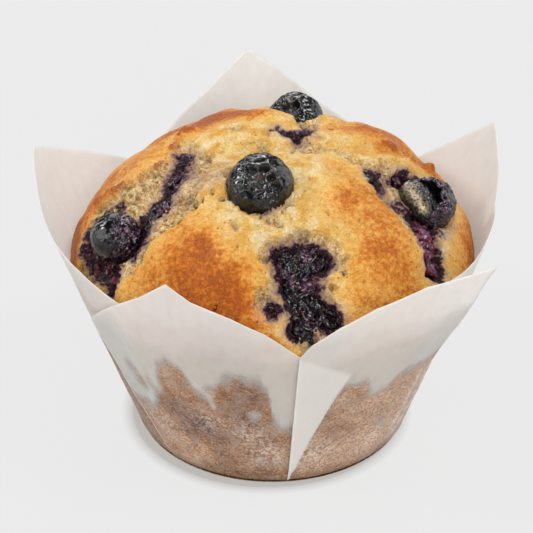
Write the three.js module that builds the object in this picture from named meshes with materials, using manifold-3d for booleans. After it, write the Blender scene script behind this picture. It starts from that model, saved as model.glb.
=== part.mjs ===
// A blueberry muffin in a white tulip paper case with five pointed petals.
// Millimetres, +Z up. The origin is the middle of the case's flat underside.
// The muffin faces -Y with its whole berry and its burst berry.

import * as THREE from 'three';
import { mergeVertices } from 'three/addons/utils/BufferGeometryUtils.js';
import Module from 'manifold-3d';

// ---- driving dimensions ----------------------------------------------------

// paper case: a cone of thin paper that opens upwards
const FOOT_RADIUS = 29.4;
const WALL_SLOPE = 0.346;
const PAPER_THICKNESS = 0.5;
const FOOT_ROUND = 0.7;
const FOOT_ROW = 0.04;
const FLARE_START = 0.42;
const FLARE_POWER = 1.2;
const PLEAT_STEP = 0.8;
const PLEAT_FADE = 16;
const PLEAT_FOOT = 0.15;
const WALL_ROWS = 6;
const WIDEST_COLUMN = 6;

// cake: a cone inside the paper below, half a flattened ball above
const DOME_RADIUS = 42.1;
const DOME_RISE = 27.3;
const DOME_LEVEL = 38.1;
const SIDE_GAP = 0.4;
const FLOOR_GAP = 0.35;
const CAKE_ROUND = 2;
const CAKE_LEVELS = [2.2, 14, 26, 37];
const CAKE_COLUMNS = 60;
const DOME_RINGS = 15;
const DOME_START = 1;
const CRUST_START = 8;

// what sits in the cake
const FIT_GAP = 0.3;
const BERRY_SIDES = 20;
const BERRY_STEPS = 9;
const BALL_DETAIL = 2;
const CALYX_RADIUS = 2.3;
const CALYX_FLOOR = 0.7;
const CALYX_DEPTH = 1.1;
const CALYX_POINTS = 5;
const CALYX_WAVE = 0.25;
const RUN_SIDES = 10;
const RUN_STEPS = 3;
const RUN_SINK = 0.5;
const RUN_FLATNESS = 0.5;
const RUN_SWELL = 0.07;
const RUN_CAP = [Math.PI / 7, Math.PI / 3.5];
const WELD = 1e-4;

// The free edge of the paper, counterclockwise from the seam in front: bearing at the foot,
// bearing, height and radius at the edge. A fold is where one layer lies over the next.
const PAPER_EDGE = [
  { foot: -84, bearing: -83.4, height: 41.4, radius: 43.8, fold: 1 },
  { foot: -80, bearing: -80.4, height: 45.1, radius: 45.2 },
  { foot: -73, bearing: -74, height: 49.2, radius: 46.9 },
  { foot: -64, bearing: -66, height: 53, radius: 48.8 },
  { foot: -52, bearing: -56, height: 57.3, radius: 52.4 },
  { foot: -34, bearing: -42, height: 59, radius: 57.5, fold: -1 },
  { foot: -28, bearing: -35, height: 50.6, radius: 46.9 },
  { foot: -20, bearing: -20, height: 50.2, radius: 46.2 },
  { foot: 0, bearing: 0, height: 51.5, radius: 46.9 },
  { foot: 12, bearing: 12, height: 56, radius: 49.3 },
  { foot: 21, bearing: 21, height: 60.5, radius: 51.3 },
  { foot: 32, bearing: 32.5, height: 52.2, radius: 47.6 },
  { foot: 44, bearing: 44.5, height: 44.5, radius: 44.9 },
  { foot: 53, bearing: 53, height: 41.4, radius: 43.8, fold: 1 },
  { foot: 62, bearing: 62, height: 45.3, radius: 45.2 },
  { foot: 76, bearing: 76.5, height: 50.9, radius: 47.5 },
  { foot: 86, bearing: 86, height: 55.8, radius: 50.2 },
  { foot: 96, bearing: 96, height: 61, radius: 54 },
  { foot: 107, bearing: 107, height: 54.5, radius: 49.2 },
  { foot: 122, bearing: 122, height: 46.5, radius: 45.6 },
  { foot: 132, bearing: 132, height: 42.3, radius: 44.1, fold: -1 },
  { foot: 138, bearing: 138, height: 45.6, radius: 45.2 },
  { foot: 152, bearing: 152, height: 51.4, radius: 47.8 },
  { foot: 172, bearing: 172, height: 60.5, radius: 51 },
  { foot: 180, bearing: 180, height: 56.5, radius: 49.4 },
  { foot: 188, bearing: 188, height: 52.1, radius: 48.2 },
  { foot: 200, bearing: 200, height: 50.2, radius: 47.2 },
  { foot: 216, bearing: 214, height: 49.8, radius: 46.9 },
  { foot: 224, bearing: 229, height: 48.2, radius: 46.3, fold: 1 },
  { foot: 232, bearing: 235, height: 51.5, radius: 47.4 },
  { foot: 242, bearing: 242, height: 56, radius: 49.4 },
  { foot: 247, bearing: 246.5, height: 60, radius: 51.3 },
  { foot: 251, bearing: 251, height: 55.4, radius: 48.8 },
  { foot: 260, bearing: 260, height: 52.2, radius: 47.6 },
  { foot: 268, bearing: 268, height: 48.3, radius: 46.3 },
];

// Torn furrows where the crust split as the cake rose: plan points on the dome.
const FURROWS = [
  { points: [[-33, -19], [-25, -12], [-19, -6], [-12, -2], [-3, -4]], width: 4.2, depth: 1.5 },
  { points: [[-3, -4], [8, -2], [17, -7], [24, -8], [30, -8]], width: 4.5, depth: 1.3 },
  { points: [[2, -27], [5, -33], [8, -39]], width: 4, depth: 1.3 },
  { points: [[0, -3], [3, 6], [8, 13]], width: 3.6, depth: 1 },
  { points: [[12, 2], [20, 2], [27, 7], [31, 11]], width: 2.2, depth: 1 },
  { points: [[8, 14], [1, 22], [-7, 28], [-12, 36]], width: 3.6, depth: 1.2 },
  { points: [[13, 19], [15, 27], [12, 36]], width: 4, depth: 1.2 },
];

// Low swells all over the crust: their height, and how fast they turn along x and y.
const SWELLS = [
  { height: 0.15, x: 0.23, y: -0.21, start: 2.3 },
  { height: 0.15, x: 0.23, y: 0.21, start: -0.1 },
  { height: 0.22, x: 0.47, y: -0.33, start: 2 },
  { height: 0.15, x: 0.29, y: 0.61, start: 0 },
];

// Slabs of crust that stand up beside the furrows.
const SLABS = [
  { at: [-14, -29], reach: 11, rise: 0.7 },
  { at: [19, -23], reach: 11, rise: 0.7 },
  { at: [-31, 5], reach: 9, rise: 0.3 },
  { at: [-8, 13], reach: 8, rise: 0.3 },
  { at: [0, 13], reach: 4, rise: 1 },
  { at: [22, 12], reach: 8, rise: 0.5 },
  { at: [30, 9], reach: 3, rise: 0.9 },
  { at: [2, 33], reach: 7, rise: 0.5 },
  { at: [25, 24], reach: 9, rise: 0.5 },
];

// Pits round the burst berries.
const PITS = [
  { at: [-31, -16], reach: 7.5, depth: 1.4 },
  { at: [31, -8], reach: 7, depth: 1.2 },
  { at: [6, -32], reach: 6.5, depth: 1.6 },
  { at: [8, -38], reach: 5, depth: 1.4 },
  { at: [-17, -18], reach: 3.4, depth: 1.5 },
  { at: [11, 34], reach: 5.5, depth: 1.4 },
];

// Berries: the middle, half the width, half the length of the axis, how far the axis leans up
// and which way it points.
const BERRIES = [
  { name: 'berry_front', at: [-2.4, -15.2, 63.6], wide: 6.8, tall: 6, lift: 49, bearing: -93, calyx: true },
  { name: 'berry_back', at: [5.1, 20, 60.6], wide: 5.9, tall: 4.9, lift: 75, bearing: -60, calyx: true },
  { name: 'berry_left', at: [-30.8, -16.4, 52.3], wide: 5.2, tall: 6.1, lift: 12, bearing: -178 },
  { name: 'berry_rear', at: [-12, 32.6, 48.7], wide: 5.8, tall: 5.4, lift: 44, bearing: 112, calyx: true },
];

// The torn berry on the right: a bared ball in the cup that is left of its own skin.
const TORN_BALL = { at: [29.9, -7.5, 55.8], radii: [3.8, 4.7, 4.6] };
const TORN_SKIN = { at: [31.9, -6.4, 54.3], radii: [5.8, 6.2, 5.6] };
const TORN_HOLLOW = { at: [31, -7.9, 56.6], radii: [4.9, 5.1, 4.6] };

// Berry flesh and juice: round-ended runs through plan points on the dome, each with a half width.
const PULPS = [
  {
    name: 'pulp_front',
    runs: [
      [[10.6, -29.6, 3.2], [7, -30.8, 4.2], [3.6, -31.8, 3.2]],
      [[5, -31.6, 3.6], [5, -35.4, 3.7], [7.4, -38.8, 3.7], [11, -39, 3]],
    ],
  },
  {
    name: 'pulp_left',
    runs: [[[-25.2, -14.2, 2.9], [-22, -10.2, 2.2], [-20.2, -6.4, 2.1], [-18.6, -1.8, 1.5]]],
  },
  { name: 'pulp_left_drip', runs: [[[-33, -20.4, 2.4], [-32.4, -23.8, 1.5]]] },
  { name: 'pulp_right', runs: [[[31.8, -15.4, 2.8], [32.3, -18.4, 2.6], [33.2, -21.4, 2.5]]] },
  { name: 'pulp_right_top', runs: [[[27.4, -1.8, 2.1], [25.2, -5.2, 1.6]]] },
  { name: 'pulp_right_spot', runs: [[[20.6, -7, 1.8], [22, -9, 1.5]]] },
  { name: 'pulp_top', runs: [[[2.4, 4.9, 1.8], [6.6, 4, 1.7]]] },
  { name: 'pulp_spot', runs: [[[-1.7, -38.4, 1.8], [-0.6, -39, 1.6]]] },
  { name: 'pulp_rear', runs: [[[15, 32.6, 3.6], [11, 34.2, 4], [7.4, 33.2, 3]]] },
];

const finish = (name, color, roughness) => (
  new THREE.MeshStandardMaterial({ name, color, roughness, metalness: 0 })
);
const CRUST = finish('crust', 0xcf8f45, 0.75);
const PAPER = finish('paper', 0xdfd9d3, 0.8);
const SKIN = finish('berry skin', 0x23242a, 0.35);
const FLESH = finish('berry flesh', 0x33172f, 0.25);

// ---- helpers ---------------------------------------------------------------

const radians = THREE.MathUtils.degToRad;
const { clamp, lerp, smoothstep } = THREE.MathUtils;
const wasm = await Module();
wasm.setup();

function polar(bearing, radius, height) {
  const angle = radians(bearing);
  return new THREE.Vector3(radius * Math.cos(angle), radius * Math.sin(angle), height);
}

// A closed geometry as a solid that can be cut and joined.
function toSolid(geometry) {
  const bare = geometry.clone();
  bare.deleteAttribute('normal');
  bare.deleteAttribute('uv');
  const merged = mergeVertices(bare, WELD);
  const mesh = new wasm.Mesh({
    numProp: 3,
    vertProperties: merged.attributes.position.array,
    triVerts: merged.index.array,
  });
  return new wasm.Manifold(mesh);
}

function toGeometry(solid) {
  const { vertProperties, triVerts } = solid.getMesh();
  const geometry = new THREE.BufferGeometry();
  geometry.setAttribute('position', new THREE.BufferAttribute(vertProperties, 3));
  geometry.setIndex(new THREE.BufferAttribute(triVerts, 1));
  geometry.computeVertexNormals();
  return geometry;
}

// A skin of rings of points, closed by a point at each end.
function ringSolid(first, rings, last) {
  const sides = rings[0].length;
  const points = [first, ...rings.flat(), last];
  const end = points.length - 1;
  const at = (ring, side) => 1 + ring * sides + (side % sides);
  const faces = [];
  for (let side = 0; side < sides; side += 1) {
    faces.push(0, at(0, side + 1), at(0, side));
    faces.push(end, at(rings.length - 1, side), at(rings.length - 1, side + 1));
    for (let ring = 0; ring + 1 < rings.length; ring += 1) {
      faces.push(at(ring, side), at(ring, side + 1), at(ring + 1, side + 1));
      faces.push(at(ring, side), at(ring + 1, side + 1), at(ring + 1, side));
    }
  }
  const geometry = new THREE.BufferGeometry().setFromPoints(points);
  geometry.setIndex(faces);
  geometry.computeVertexNormals();
  return geometry;
}

// ---- paper case ------------------------------------------------------------

const wallRadius = (height) => FOOT_RADIUS + WALL_SLOPE * height;

// Columns of the paper: every key point of its edge, and more between where they stand apart.
function paperColumns() {
  const columns = [];
  PAPER_EDGE.forEach((start, index) => {
    const next = PAPER_EDGE[(index + 1) % PAPER_EDGE.length];
    const turn = index + 1 === PAPER_EDGE.length ? 360 : 0;
    const steps = Math.ceil((next.bearing + turn - start.bearing) / WIDEST_COLUMN);
    for (let step = 0; step < steps; step += 1) {
      const share = step / steps;
      columns.push({
        foot: lerp(start.foot, next.foot + turn, share),
        bearing: lerp(start.bearing, next.bearing + turn, share),
        height: lerp(start.height, next.height, share),
        radius: lerp(start.radius, next.radius, share),
      });
    }
  });
  return columns;
}

// How far the top layer of a pleat lifts the paper: a step at the fold that fades to one side.
function pleatLift(foot) {
  let lift = 0;
  for (const fold of PAPER_EDGE.filter((point) => point.fold)) {
    const across = ((((foot - fold.foot) * fold.fold) % 360) + 540) % 360 - 180;
    if (across >= 0 && across < PLEAT_FADE) {
      lift = PLEAT_STEP * (1 - across / PLEAT_FADE);
    }
  }
  return lift;
}

function paperPoint(column, share, inset) {
  const height = share * column.height;
  const flare = clamp((share - FLARE_START) / (1 - FLARE_START), 0, 1) ** FLARE_POWER;
  const lean = (column.radius - wallRadius(column.height)) * flare;
  const lift = pleatLift(column.foot) * smoothstep(share, 0, PLEAT_FOOT);
  const bearing = lerp(column.foot, column.bearing, share);
  return polar(bearing, wallRadius(height) + lean + lift - inset, height);
}

function paperCase() {
  const columns = paperColumns();
  const inset = PAPER_THICKNESS * Math.hypot(1, WALL_SLOPE);
  const outside = [];
  const inside = [];
  for (let row = 0; row <= WALL_ROWS; row += 1) {
    const share = lerp(FOOT_ROW, 1, row / WALL_ROWS);
    outside.push(columns.map((column) => paperPoint(column, share, 0)));
    inside.push(columns.map((column) => paperPoint(column, share, inset)));
  }
  const footEdge = columns.map(({ foot }) => polar(foot, FOOT_RADIUS - FOOT_ROUND, 0));
  const floorRadius = FOOT_RADIUS - FOOT_ROUND - inset;
  const floorEdge = columns.map(({ foot }) => polar(foot, floorRadius, PAPER_THICKNESS));
  const rings = [footEdge, ...outside, ...inside.reverse(), floorEdge];
  const under = new THREE.Vector3(0, 0, 0);
  const floor = new THREE.Vector3(0, 0, PAPER_THICKNESS);
  return ringSolid(under, rings, floor);
}

// ---- cake ------------------------------------------------------------------

function domeHeight(x, y) {
  const share = (x * x + y * y) / DOME_RADIUS ** 2;
  return DOME_LEVEL + DOME_RISE * Math.sqrt(Math.max(0, 1 - share));
}

function domeNormal(x, y, z) {
  const flat = DOME_RADIUS ** 2;
  return new THREE.Vector3(x / flat, y / flat, (z - DOME_LEVEL) / DOME_RISE ** 2).normalize();
}

// The point above (x, y) on the smooth dome, raised along the dome's normal.
function onDome(x, y, rise = 0) {
  const point = new THREE.Vector3(x, y, domeHeight(x, y));
  return point.addScaledVector(domeNormal(x, y, point.z), rise);
}

function distanceToRun(point, run) {
  const nearest = new THREE.Vector3();
  let least = Infinity;
  for (let index = 0; index + 1 < run.length; index += 1) {
    const line = new THREE.Line3(onDome(...run[index]), onDome(...run[index + 1]));
    line.closestPointToPoint(point, true, nearest);
    least = Math.min(least, nearest.distanceTo(point));
  }
  return least;
}

const bump = (distance, reach) => Math.exp(-((distance / reach) ** 2));

// How far the crust stands above the smooth dome at a point.
function crustRelief(point) {
  let relief = 0;
  for (const { height, x, y, start } of SWELLS) {
    relief += height * Math.sin(x * point.x + y * point.y + start);
  }
  for (const { at, reach, rise } of SLABS) {
    relief += rise * bump(point.distanceTo(onDome(...at)), reach);
  }
  for (const { points, width, depth } of FURROWS) {
    relief -= depth * bump(distanceToRun(point, points), width);
  }
  for (const { at, reach, depth } of PITS) {
    relief -= depth * bump(point.distanceTo(onDome(...at)), reach);
  }
  return relief * smoothstep(point.z, DOME_LEVEL + DOME_START, DOME_LEVEL + CRUST_START);
}

function cakeRadius(height) {
  return wallRadius(height) - PAPER_THICKNESS * Math.hypot(1, WALL_SLOPE) - SIDE_GAP;
}

function cake() {
  const floor = PAPER_THICKNESS + FLOOR_GAP;
  const bearings = Array.from({ length: CAKE_COLUMNS }, (_, column) => (360 * column) / CAKE_COLUMNS);
  const ring = (radius, height) => bearings.map((bearing) => polar(bearing, radius, height));
  const rings = [ring(cakeRadius(floor) - CAKE_ROUND, floor)];
  for (const height of CAKE_LEVELS) {
    rings.push(ring(cakeRadius(height), height));
  }
  const widest = Math.asin(cakeRadius(DOME_LEVEL + DOME_START) / DOME_RADIUS);
  for (let index = 0; index < DOME_RINGS; index += 1) {
    const tilt = widest * (1 - index / DOME_RINGS);
    const smooth = ring(DOME_RADIUS * Math.sin(tilt), DOME_LEVEL + DOME_RISE * Math.cos(tilt));
    rings.push(smooth.map((point) => {
      const normal = domeNormal(point.x, point.y, point.z);
      return point.clone().addScaledVector(normal, crustRelief(point));
    }));
  }
  const top = onDome(0, 0, crustRelief(onDome(0, 0)));
  return ringSolid(new THREE.Vector3(0, 0, floor), rings, top);
}

// ---- berries ---------------------------------------------------------------

// Half outline of a berry, from the middle of its calyx to its foot.
function berryProfile({ wide, tall, calyx }) {
  const start = calyx ? Math.asin(CALYX_RADIUS / wide) : 0;
  const profile = [new THREE.Vector2(0, tall - (calyx ? CALYX_DEPTH : 0))];
  if (calyx) {
    profile.push(new THREE.Vector2(CALYX_RADIUS * CALYX_FLOOR, tall - CALYX_DEPTH));
  }
  for (let step = calyx ? 0 : 1; step < BERRY_STEPS; step += 1) {
    const angle = lerp(start, Math.PI, step / BERRY_STEPS);
    profile.push(new THREE.Vector2(wide * Math.sin(angle), tall * Math.cos(angle)));
  }
  profile.push(new THREE.Vector2(0, -tall));
  return profile;
}

// A berry about its own axis: the calyx is a crown of five points round a hollow.
function berryGeometry(berry) {
  const geometry = new THREE.LatheGeometry(berryProfile(berry).reverse(), BERRY_SIDES);
  geometry.rotateX(Math.PI / 2);
  const position = geometry.attributes.position;
  const rim = Math.sqrt(1 - (CALYX_RADIUS / berry.wide) ** 2) * berry.tall;
  for (let index = 0; index < position.count; index += 1) {
    const [x, y, z] = [position.getX(index), position.getY(index), position.getZ(index)];
    if (berry.calyx && Math.abs(z - rim) < WELD) {
      const wave = 1 + Math.cos(CALYX_POINTS * Math.atan2(y, x));
      position.setZ(index, z + CALYX_WAVE * wave);
    }
  }
  return geometry;
}

// The hole that a berry sits in: the berry without its calyx, larger by the gap.
function berrySocket({ wide, tall, ...rest }) {
  const grown = { wide: wide + FIT_GAP, tall: tall + FIT_GAP };
  return toSolid(berryGeometry({ ...rest, ...grown, calyx: false }).applyMatrix4(berryPose(rest)));
}

function berryPose({ at, lift, bearing }) {
  const axis = polar(bearing, Math.cos(radians(lift)), Math.sin(radians(lift)));
  const turn = new THREE.Quaternion().setFromUnitVectors(new THREE.Vector3(0, 0, 1), axis);
  return new THREE.Matrix4().compose(new THREE.Vector3(...at), turn, new THREE.Vector3(1, 1, 1));
}

function ball({ at, radii }, grow) {
  const geometry = new THREE.IcosahedronGeometry(1, BALL_DETAIL);
  geometry.scale(radii[0] + grow, radii[1] + grow, radii[2] + grow);
  geometry.translate(...at);
  return toSolid(geometry);
}

// The torn berry: a ball of skin with a hollow in it, and the flesh that stands in the hollow.
function tornBerry(grow = 0) {
  const cup = ball(TORN_SKIN, grow).subtract(ball(TORN_HOLLOW, -grow));
  return cup.add(ball(TORN_BALL, grow));
}

// ---- berry flesh -----------------------------------------------------------

// Where a run is at a step: the middle of its section, three directions and its half width.
function runFrame(run, curve, step) {
  const place = step / RUN_STEPS;
  const before = Math.min(Math.floor(place), run.length - 2);
  const wide = lerp(run[before][2], run[before + 1][2], place - before);
  const share = place / (run.length - 1);
  const { x, y } = curve.getPoint(share);
  const up = domeNormal(x, y, domeHeight(x, y));
  const along = curve.getTangent(share).projectOnPlane(up).normalize();
  const across = up.clone().cross(along);
  const middle = onDome(x, y, crustRelief(onDome(x, y)) - RUN_SINK * RUN_FLATNESS * wide);
  return { middle, up, along, across, wide, twist: 2 * step };
}

// One section of a run. The sections of its round ends are shrunk and moved ahead or back.
function runSection(frame, grow, shrink = 1, ahead = 0) {
  const wide = frame.wide + grow;
  const thick = RUN_FLATNESS * frame.wide + grow;
  return Array.from({ length: RUN_SIDES }, (_, side) => {
    const angle = (2 * Math.PI * side) / RUN_SIDES;
    const swell = shrink * (1 + RUN_SWELL * Math.sin(3 * angle + frame.twist));
    return frame.middle.clone()
      .addScaledVector(frame.along, ahead * wide)
      .addScaledVector(frame.across, swell * wide * Math.cos(angle))
      .addScaledVector(frame.up, swell * thick * Math.sin(angle));
  });
}

// One round-ended run on the dome, wide and flat, grown all round by `grow`.
function fleshRun(run, grow) {
  const curve = new THREE.CatmullRomCurve3(run.map(([x, y]) => new THREE.Vector3(x, y, 0)));
  const steps = (run.length - 1) * RUN_STEPS;
  const frames = Array.from({ length: steps + 1 }, (_, step) => runFrame(run, curve, step));
  const [first, last] = [frames[0], frames[steps]];
  const rings = [
    ...RUN_CAP.map((angle) => runSection(first, grow, Math.sin(angle), -Math.cos(angle))),
    ...frames.map((frame) => runSection(frame, grow)),
    ...RUN_CAP.map((angle) => runSection(last, grow, Math.sin(angle), Math.cos(angle))).reverse(),
  ];
  const [start] = runSection(first, grow, 0, -1);
  const [end] = runSection(last, grow, 0, 1);
  return toSolid(ringSolid(start, rings, end));
}

function pulpSolid({ runs }, grow = 0) {
  return runs.map((run) => fleshRun(run, grow)).reduce((all, next) => all.add(next));
}

// ---- assembly --------------------------------------------------------------

function namedMesh(name, geometry, material) {
  const mesh = new THREE.Mesh(geometry, material);
  mesh.name = name;
  return mesh;
}

const muffin = new THREE.Group();
muffin.add(namedMesh('paper_case', paperCase(), PAPER));

let body = toSolid(cake());
const sockets = [tornBerry(FIT_GAP)];
for (const berry of BERRIES) {
  const mesh = namedMesh(berry.name, berryGeometry(berry), SKIN);
  berryPose(berry).decompose(mesh.position, mesh.quaternion, mesh.scale);
  muffin.add(mesh);
  sockets.push(berrySocket(berry));
}
muffin.add(namedMesh('berry_right', toGeometry(tornBerry()), SKIN));

for (const pulp of PULPS) {
  let flesh = pulpSolid(pulp);
  for (const socket of sockets) {
    flesh = flesh.subtract(socket);
  }
  muffin.add(namedMesh(pulp.name, toGeometry(flesh), FLESH));
}

for (const socket of sockets) {
  body = body.subtract(socket);
}
for (const pulp of PULPS) {
  body = body.subtract(pulpSolid(pulp, FIT_GAP));
}
muffin.add(namedMesh('muffin', toGeometry(body), CRUST));

export default muffin;
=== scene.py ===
# %% [markdown]
# # A blueberry muffin in a tulip paper case
# The real thing is a cake that rose out of its tin, so it has a plain cone below and a cracked
# dome on top. A square of baking paper, pressed into a cup, stands round it in five points.
# We build everything as meshes in code: each surface is a sheet of points that we can push and
# pull with noise, because a cake has no part that is really smooth or really regular.

# %% Load the fixed frame
import itertools
import math
import random

import bmesh
import bpy
import numpy as np
from mathutils import Matrix, Vector


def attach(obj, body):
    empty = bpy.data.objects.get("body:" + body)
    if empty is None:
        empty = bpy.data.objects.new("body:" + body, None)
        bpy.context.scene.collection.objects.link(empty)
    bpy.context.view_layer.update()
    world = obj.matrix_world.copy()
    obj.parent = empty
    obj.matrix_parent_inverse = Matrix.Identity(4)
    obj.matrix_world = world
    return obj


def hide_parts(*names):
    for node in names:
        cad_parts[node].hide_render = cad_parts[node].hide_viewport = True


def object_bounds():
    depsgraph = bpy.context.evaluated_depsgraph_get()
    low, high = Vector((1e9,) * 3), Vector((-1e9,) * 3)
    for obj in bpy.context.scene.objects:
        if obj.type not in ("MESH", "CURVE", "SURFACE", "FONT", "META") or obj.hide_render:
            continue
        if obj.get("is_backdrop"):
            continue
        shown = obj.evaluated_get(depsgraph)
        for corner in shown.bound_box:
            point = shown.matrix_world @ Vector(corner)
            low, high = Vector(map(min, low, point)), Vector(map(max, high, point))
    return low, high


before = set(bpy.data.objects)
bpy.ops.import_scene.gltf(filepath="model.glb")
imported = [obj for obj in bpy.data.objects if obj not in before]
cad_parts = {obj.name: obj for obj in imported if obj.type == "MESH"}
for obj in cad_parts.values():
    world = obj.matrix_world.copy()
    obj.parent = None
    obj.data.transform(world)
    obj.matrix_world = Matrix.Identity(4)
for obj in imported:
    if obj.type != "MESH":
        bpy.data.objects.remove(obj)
CAD_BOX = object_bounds()
MM = 0.001
print("frame:", len(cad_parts), "nodes, box", [round(v / MM, 1) for v in CAD_BOX[1]])

# %% [markdown]
# ## The camera
# A small thing on a table looks natural from half a metre or so away, through a long lens that
# keeps its sides from bulging. We place the camera from a distance and a height angle, so that
# both can be changed without aiming it again.

# %% Camera
CAMERA_TARGET = Vector((-1.25, 0, 35.4)) * MM
CAMERA_DISTANCE = 450 * MM
CAMERA_HEIGHT_ANGLE = math.radians(31.5)
CAMERA_LENS = 142.9


def place_camera():
    data = bpy.data.cameras.new("camera")
    data.lens = CAMERA_LENS
    data.sensor_width = 36
    data.clip_start = 0.01
    camera = bpy.data.objects.new("camera", data)
    back = Vector((0, -math.cos(CAMERA_HEIGHT_ANGLE), math.sin(CAMERA_HEIGHT_ANGLE)))
    camera.location = CAMERA_TARGET + back * CAMERA_DISTANCE
    camera.rotation_euler = (-back).to_track_quat("-Z", "Y").to_euler()
    bpy.context.collection.objects.link(camera)
    bpy.context.scene.camera = camera


place_camera()
print("camera lens:", CAMERA_LENS)

# %% [markdown]
# ## Noise that we can bend shapes with
# Blender's shader noise only exists while rendering. To move points we need the same idea in
# numbers: a random slope in every cell of a grid, blended smoothly in between. The random numbers
# come from a formula on the cell's place, so the muffin is the same each time.


# %% Smooth noise
NOISE_GAIN = 1.7
CELL_PRIMES = (374761393, 668265263, 1440662683)
CHANNEL_PRIME = 1013904223
MIX_PRIMES = (2246822519, 3266489917)
LARGEST = 2**32 - 1


def cell_random(cells, channel):
    """A repeatable number from 0 to 1 for each whole-number cell."""
    mixed = cells @ np.array(CELL_PRIMES) + channel * CHANNEL_PRIME
    mixed = mixed.astype(np.uint32)
    mixed = (mixed ^ (mixed >> 15)) * np.uint32(MIX_PRIMES[0])
    mixed = (mixed ^ (mixed >> 13)) * np.uint32(MIX_PRIMES[1])
    return (mixed ^ (mixed >> 16)) / float(LARGEST)


def noise(points, size, channel=0):
    """Smooth noise from about -1 to 1 whose bumps are about `size` across."""
    places = points / size
    base = np.floor(places).astype(np.int64)
    inside = places - base
    blend = inside**3 * (inside * (inside * 6 - 15) + 10)
    total = np.zeros(len(points))
    for corner in itertools.product((0, 1), repeat=3):
        cell = base + corner
        away = inside - corner
        weight = np.prod(np.where(corner, blend, 1 - blend), axis=1)
        slope = sum(away[:, axis] * (cell_random(cell, channel + axis) * 2 - 1) for axis in range(3))
        total += weight * slope
    return total * NOISE_GAIN


print("noise at one place:", round(float(noise(np.array([[1.3, 0.4, 2.2]]), 2.0)[0]), 3))

# %% [markdown]
# ## Rough, ridged and bubbly
# Baked and wrinkled things need more than one kind of bump. Adding finer and finer noise gives a
# rough crust; folding noise at zero gives the sharp crests of a wrinkled skin; and the distance to
# scattered points gives round bubbles, as in a sponge.


# %% Kinds of noise
RIDGE_GAIN = 1.6


def rough_noise(points, size, octaves=3, channel=0):
    """Noise with finer noise on it, each layer half as large and half as strong."""
    layers = range(octaves)
    return sum(noise(points, size / 2**layer, channel + 7 * layer) / 2**layer for layer in layers)


def ridges(points, size, octaves=2, channel=0):
    """Sharp crests from 0 to 1, as on a wrinkled skin."""
    return 1 - np.minimum(1, np.abs(rough_noise(points, size, octaves, channel)) * RIDGE_GAIN)


def cell_distance(points, size, channel=0):
    """Distance to the nearest of many scattered points, in cell sizes."""
    places = points / size
    base = np.floor(places).astype(np.int64)
    nearest = np.full(len(points), 9.0)
    for step in itertools.product((-1, 0, 1), repeat=3):
        cell = base + step
        inside = np.stack([cell_random(cell, channel + axis) for axis in range(3)], axis=1)
        nearest = np.minimum(nearest, np.linalg.norm(cell + inside - places, axis=1))
    return nearest


print("bubble at one place:", round(float(cell_distance(np.array([[1.3, 0.4, 2.2]]), 2.0)[0]), 3))

# %% [markdown]
# ## Two soft curves
# Nothing on food starts or stops at a line. These two curves turn a distance into an amount: one
# fades from nothing to all, the other makes a soft spot or a soft line.


# %% Curves
def smooth_step(low, high, values):
    """0 below `low`, 1 above `high`, and an easy curve between them."""
    share = np.clip((values - low) / (high - low), 0, 1)
    return share * share * (3 - 2 * share)


def bump(distance, reach):
    """1 at no distance, falling softly to almost 0 at twice the reach."""
    return np.exp(-((distance / reach) ** 2))


print("half way up the curve:", smooth_step(0, 2, 1), "at the reach:", round(float(bump(1, 1)), 2))

# %% [markdown]
# ## From points to a piece
# Every surface below is worked out in millimetres as rows of points. One helper turns the points
# and faces into a Blender object, and stores masks such as "how browned" on the points, where a
# material can read them by name.


# %% Mesh helpers
def make_piece(name, points, faces, masks=None, material=None):
    """A smooth-shaded object from points in millimetres, with a number per point for each mask."""
    mesh = bpy.data.meshes.new(name)
    mesh.from_pydata((np.asarray(points) * MM).tolist(), [], [tuple(face) for face in faces])
    mesh.polygons.foreach_set("use_smooth", [True] * len(mesh.polygons))
    for mask, values in (masks or {}).items():
        layer = mesh.attributes.new(mask, "FLOAT", "POINT")
        layer.data.foreach_set("value", np.asarray(values, dtype=np.float32))
    if material:
        mesh.materials.append(material)
    piece = bpy.data.objects.new(name, mesh)
    bpy.context.collection.objects.link(piece)
    print(name, len(mesh.vertices), "points")
    return piece


def settle(piece, slot, *nodes):
    """Let a piece ride on the muffin, in the place of the frame's own solids."""
    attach(piece, "root")
    if nodes:
        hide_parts(*nodes)


def around(radius, turn, height):
    """Points at a distance from the upright axis, turned round it, at a height."""
    return np.stack([radius * np.cos(turn), radius * np.sin(turn), height + 0 * turn], -1)


def grid_faces(rows, columns, closed=True):
    """Four-cornered faces between rows of points; a closed grid joins its last column to its first."""
    across = np.arange(columns if closed else columns - 1)
    row = np.arange(rows - 1)[:, None] * columns
    beside = (across + 1) % columns
    corners = [row + across, row + beside, row + columns + beside, row + columns + across]
    return np.stack(corners, axis=-1).reshape(-1, 4).tolist()


print("a square of four points gives", len(grid_faces(2, 2, closed=False)), "face")

# %% [markdown]
# ## Building with nodes
# A material is a tree of small nodes, each with inputs and outputs. Wiring one by hand takes a
# few lines per node, so a few helpers do it in one: they add a node, set or link its inputs, and
# give back its output, so that a mask can be written down like a sum.


# %% Node helpers
def add(tree, kind, values=None, **settings):
    """A node with its settings and input values; a value that is a socket is linked."""
    node = tree.nodes.new(kind)
    for setting, value in settings.items():
        setattr(node, setting, value)
    for socket, value in (values or {}).items():
        give(tree, node.inputs[socket], value)
    return node


def give(tree, socket, value):
    """Link a socket to its source, or set it to a plain value."""
    if isinstance(value, bpy.types.NodeSocket):
        tree.links.new(value, socket)
    else:
        socket.default_value = value


def math_node(tree, operation, *values):
    """The values put together one after another by an operation."""
    result, *rest = values
    for value in rest:
        result = add(tree, "ShaderNodeMath", {0: result, 1: value}, operation=operation).outputs[0]
    return result


def times(tree, *values):
    return math_node(tree, "MULTIPLY", *values)


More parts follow.
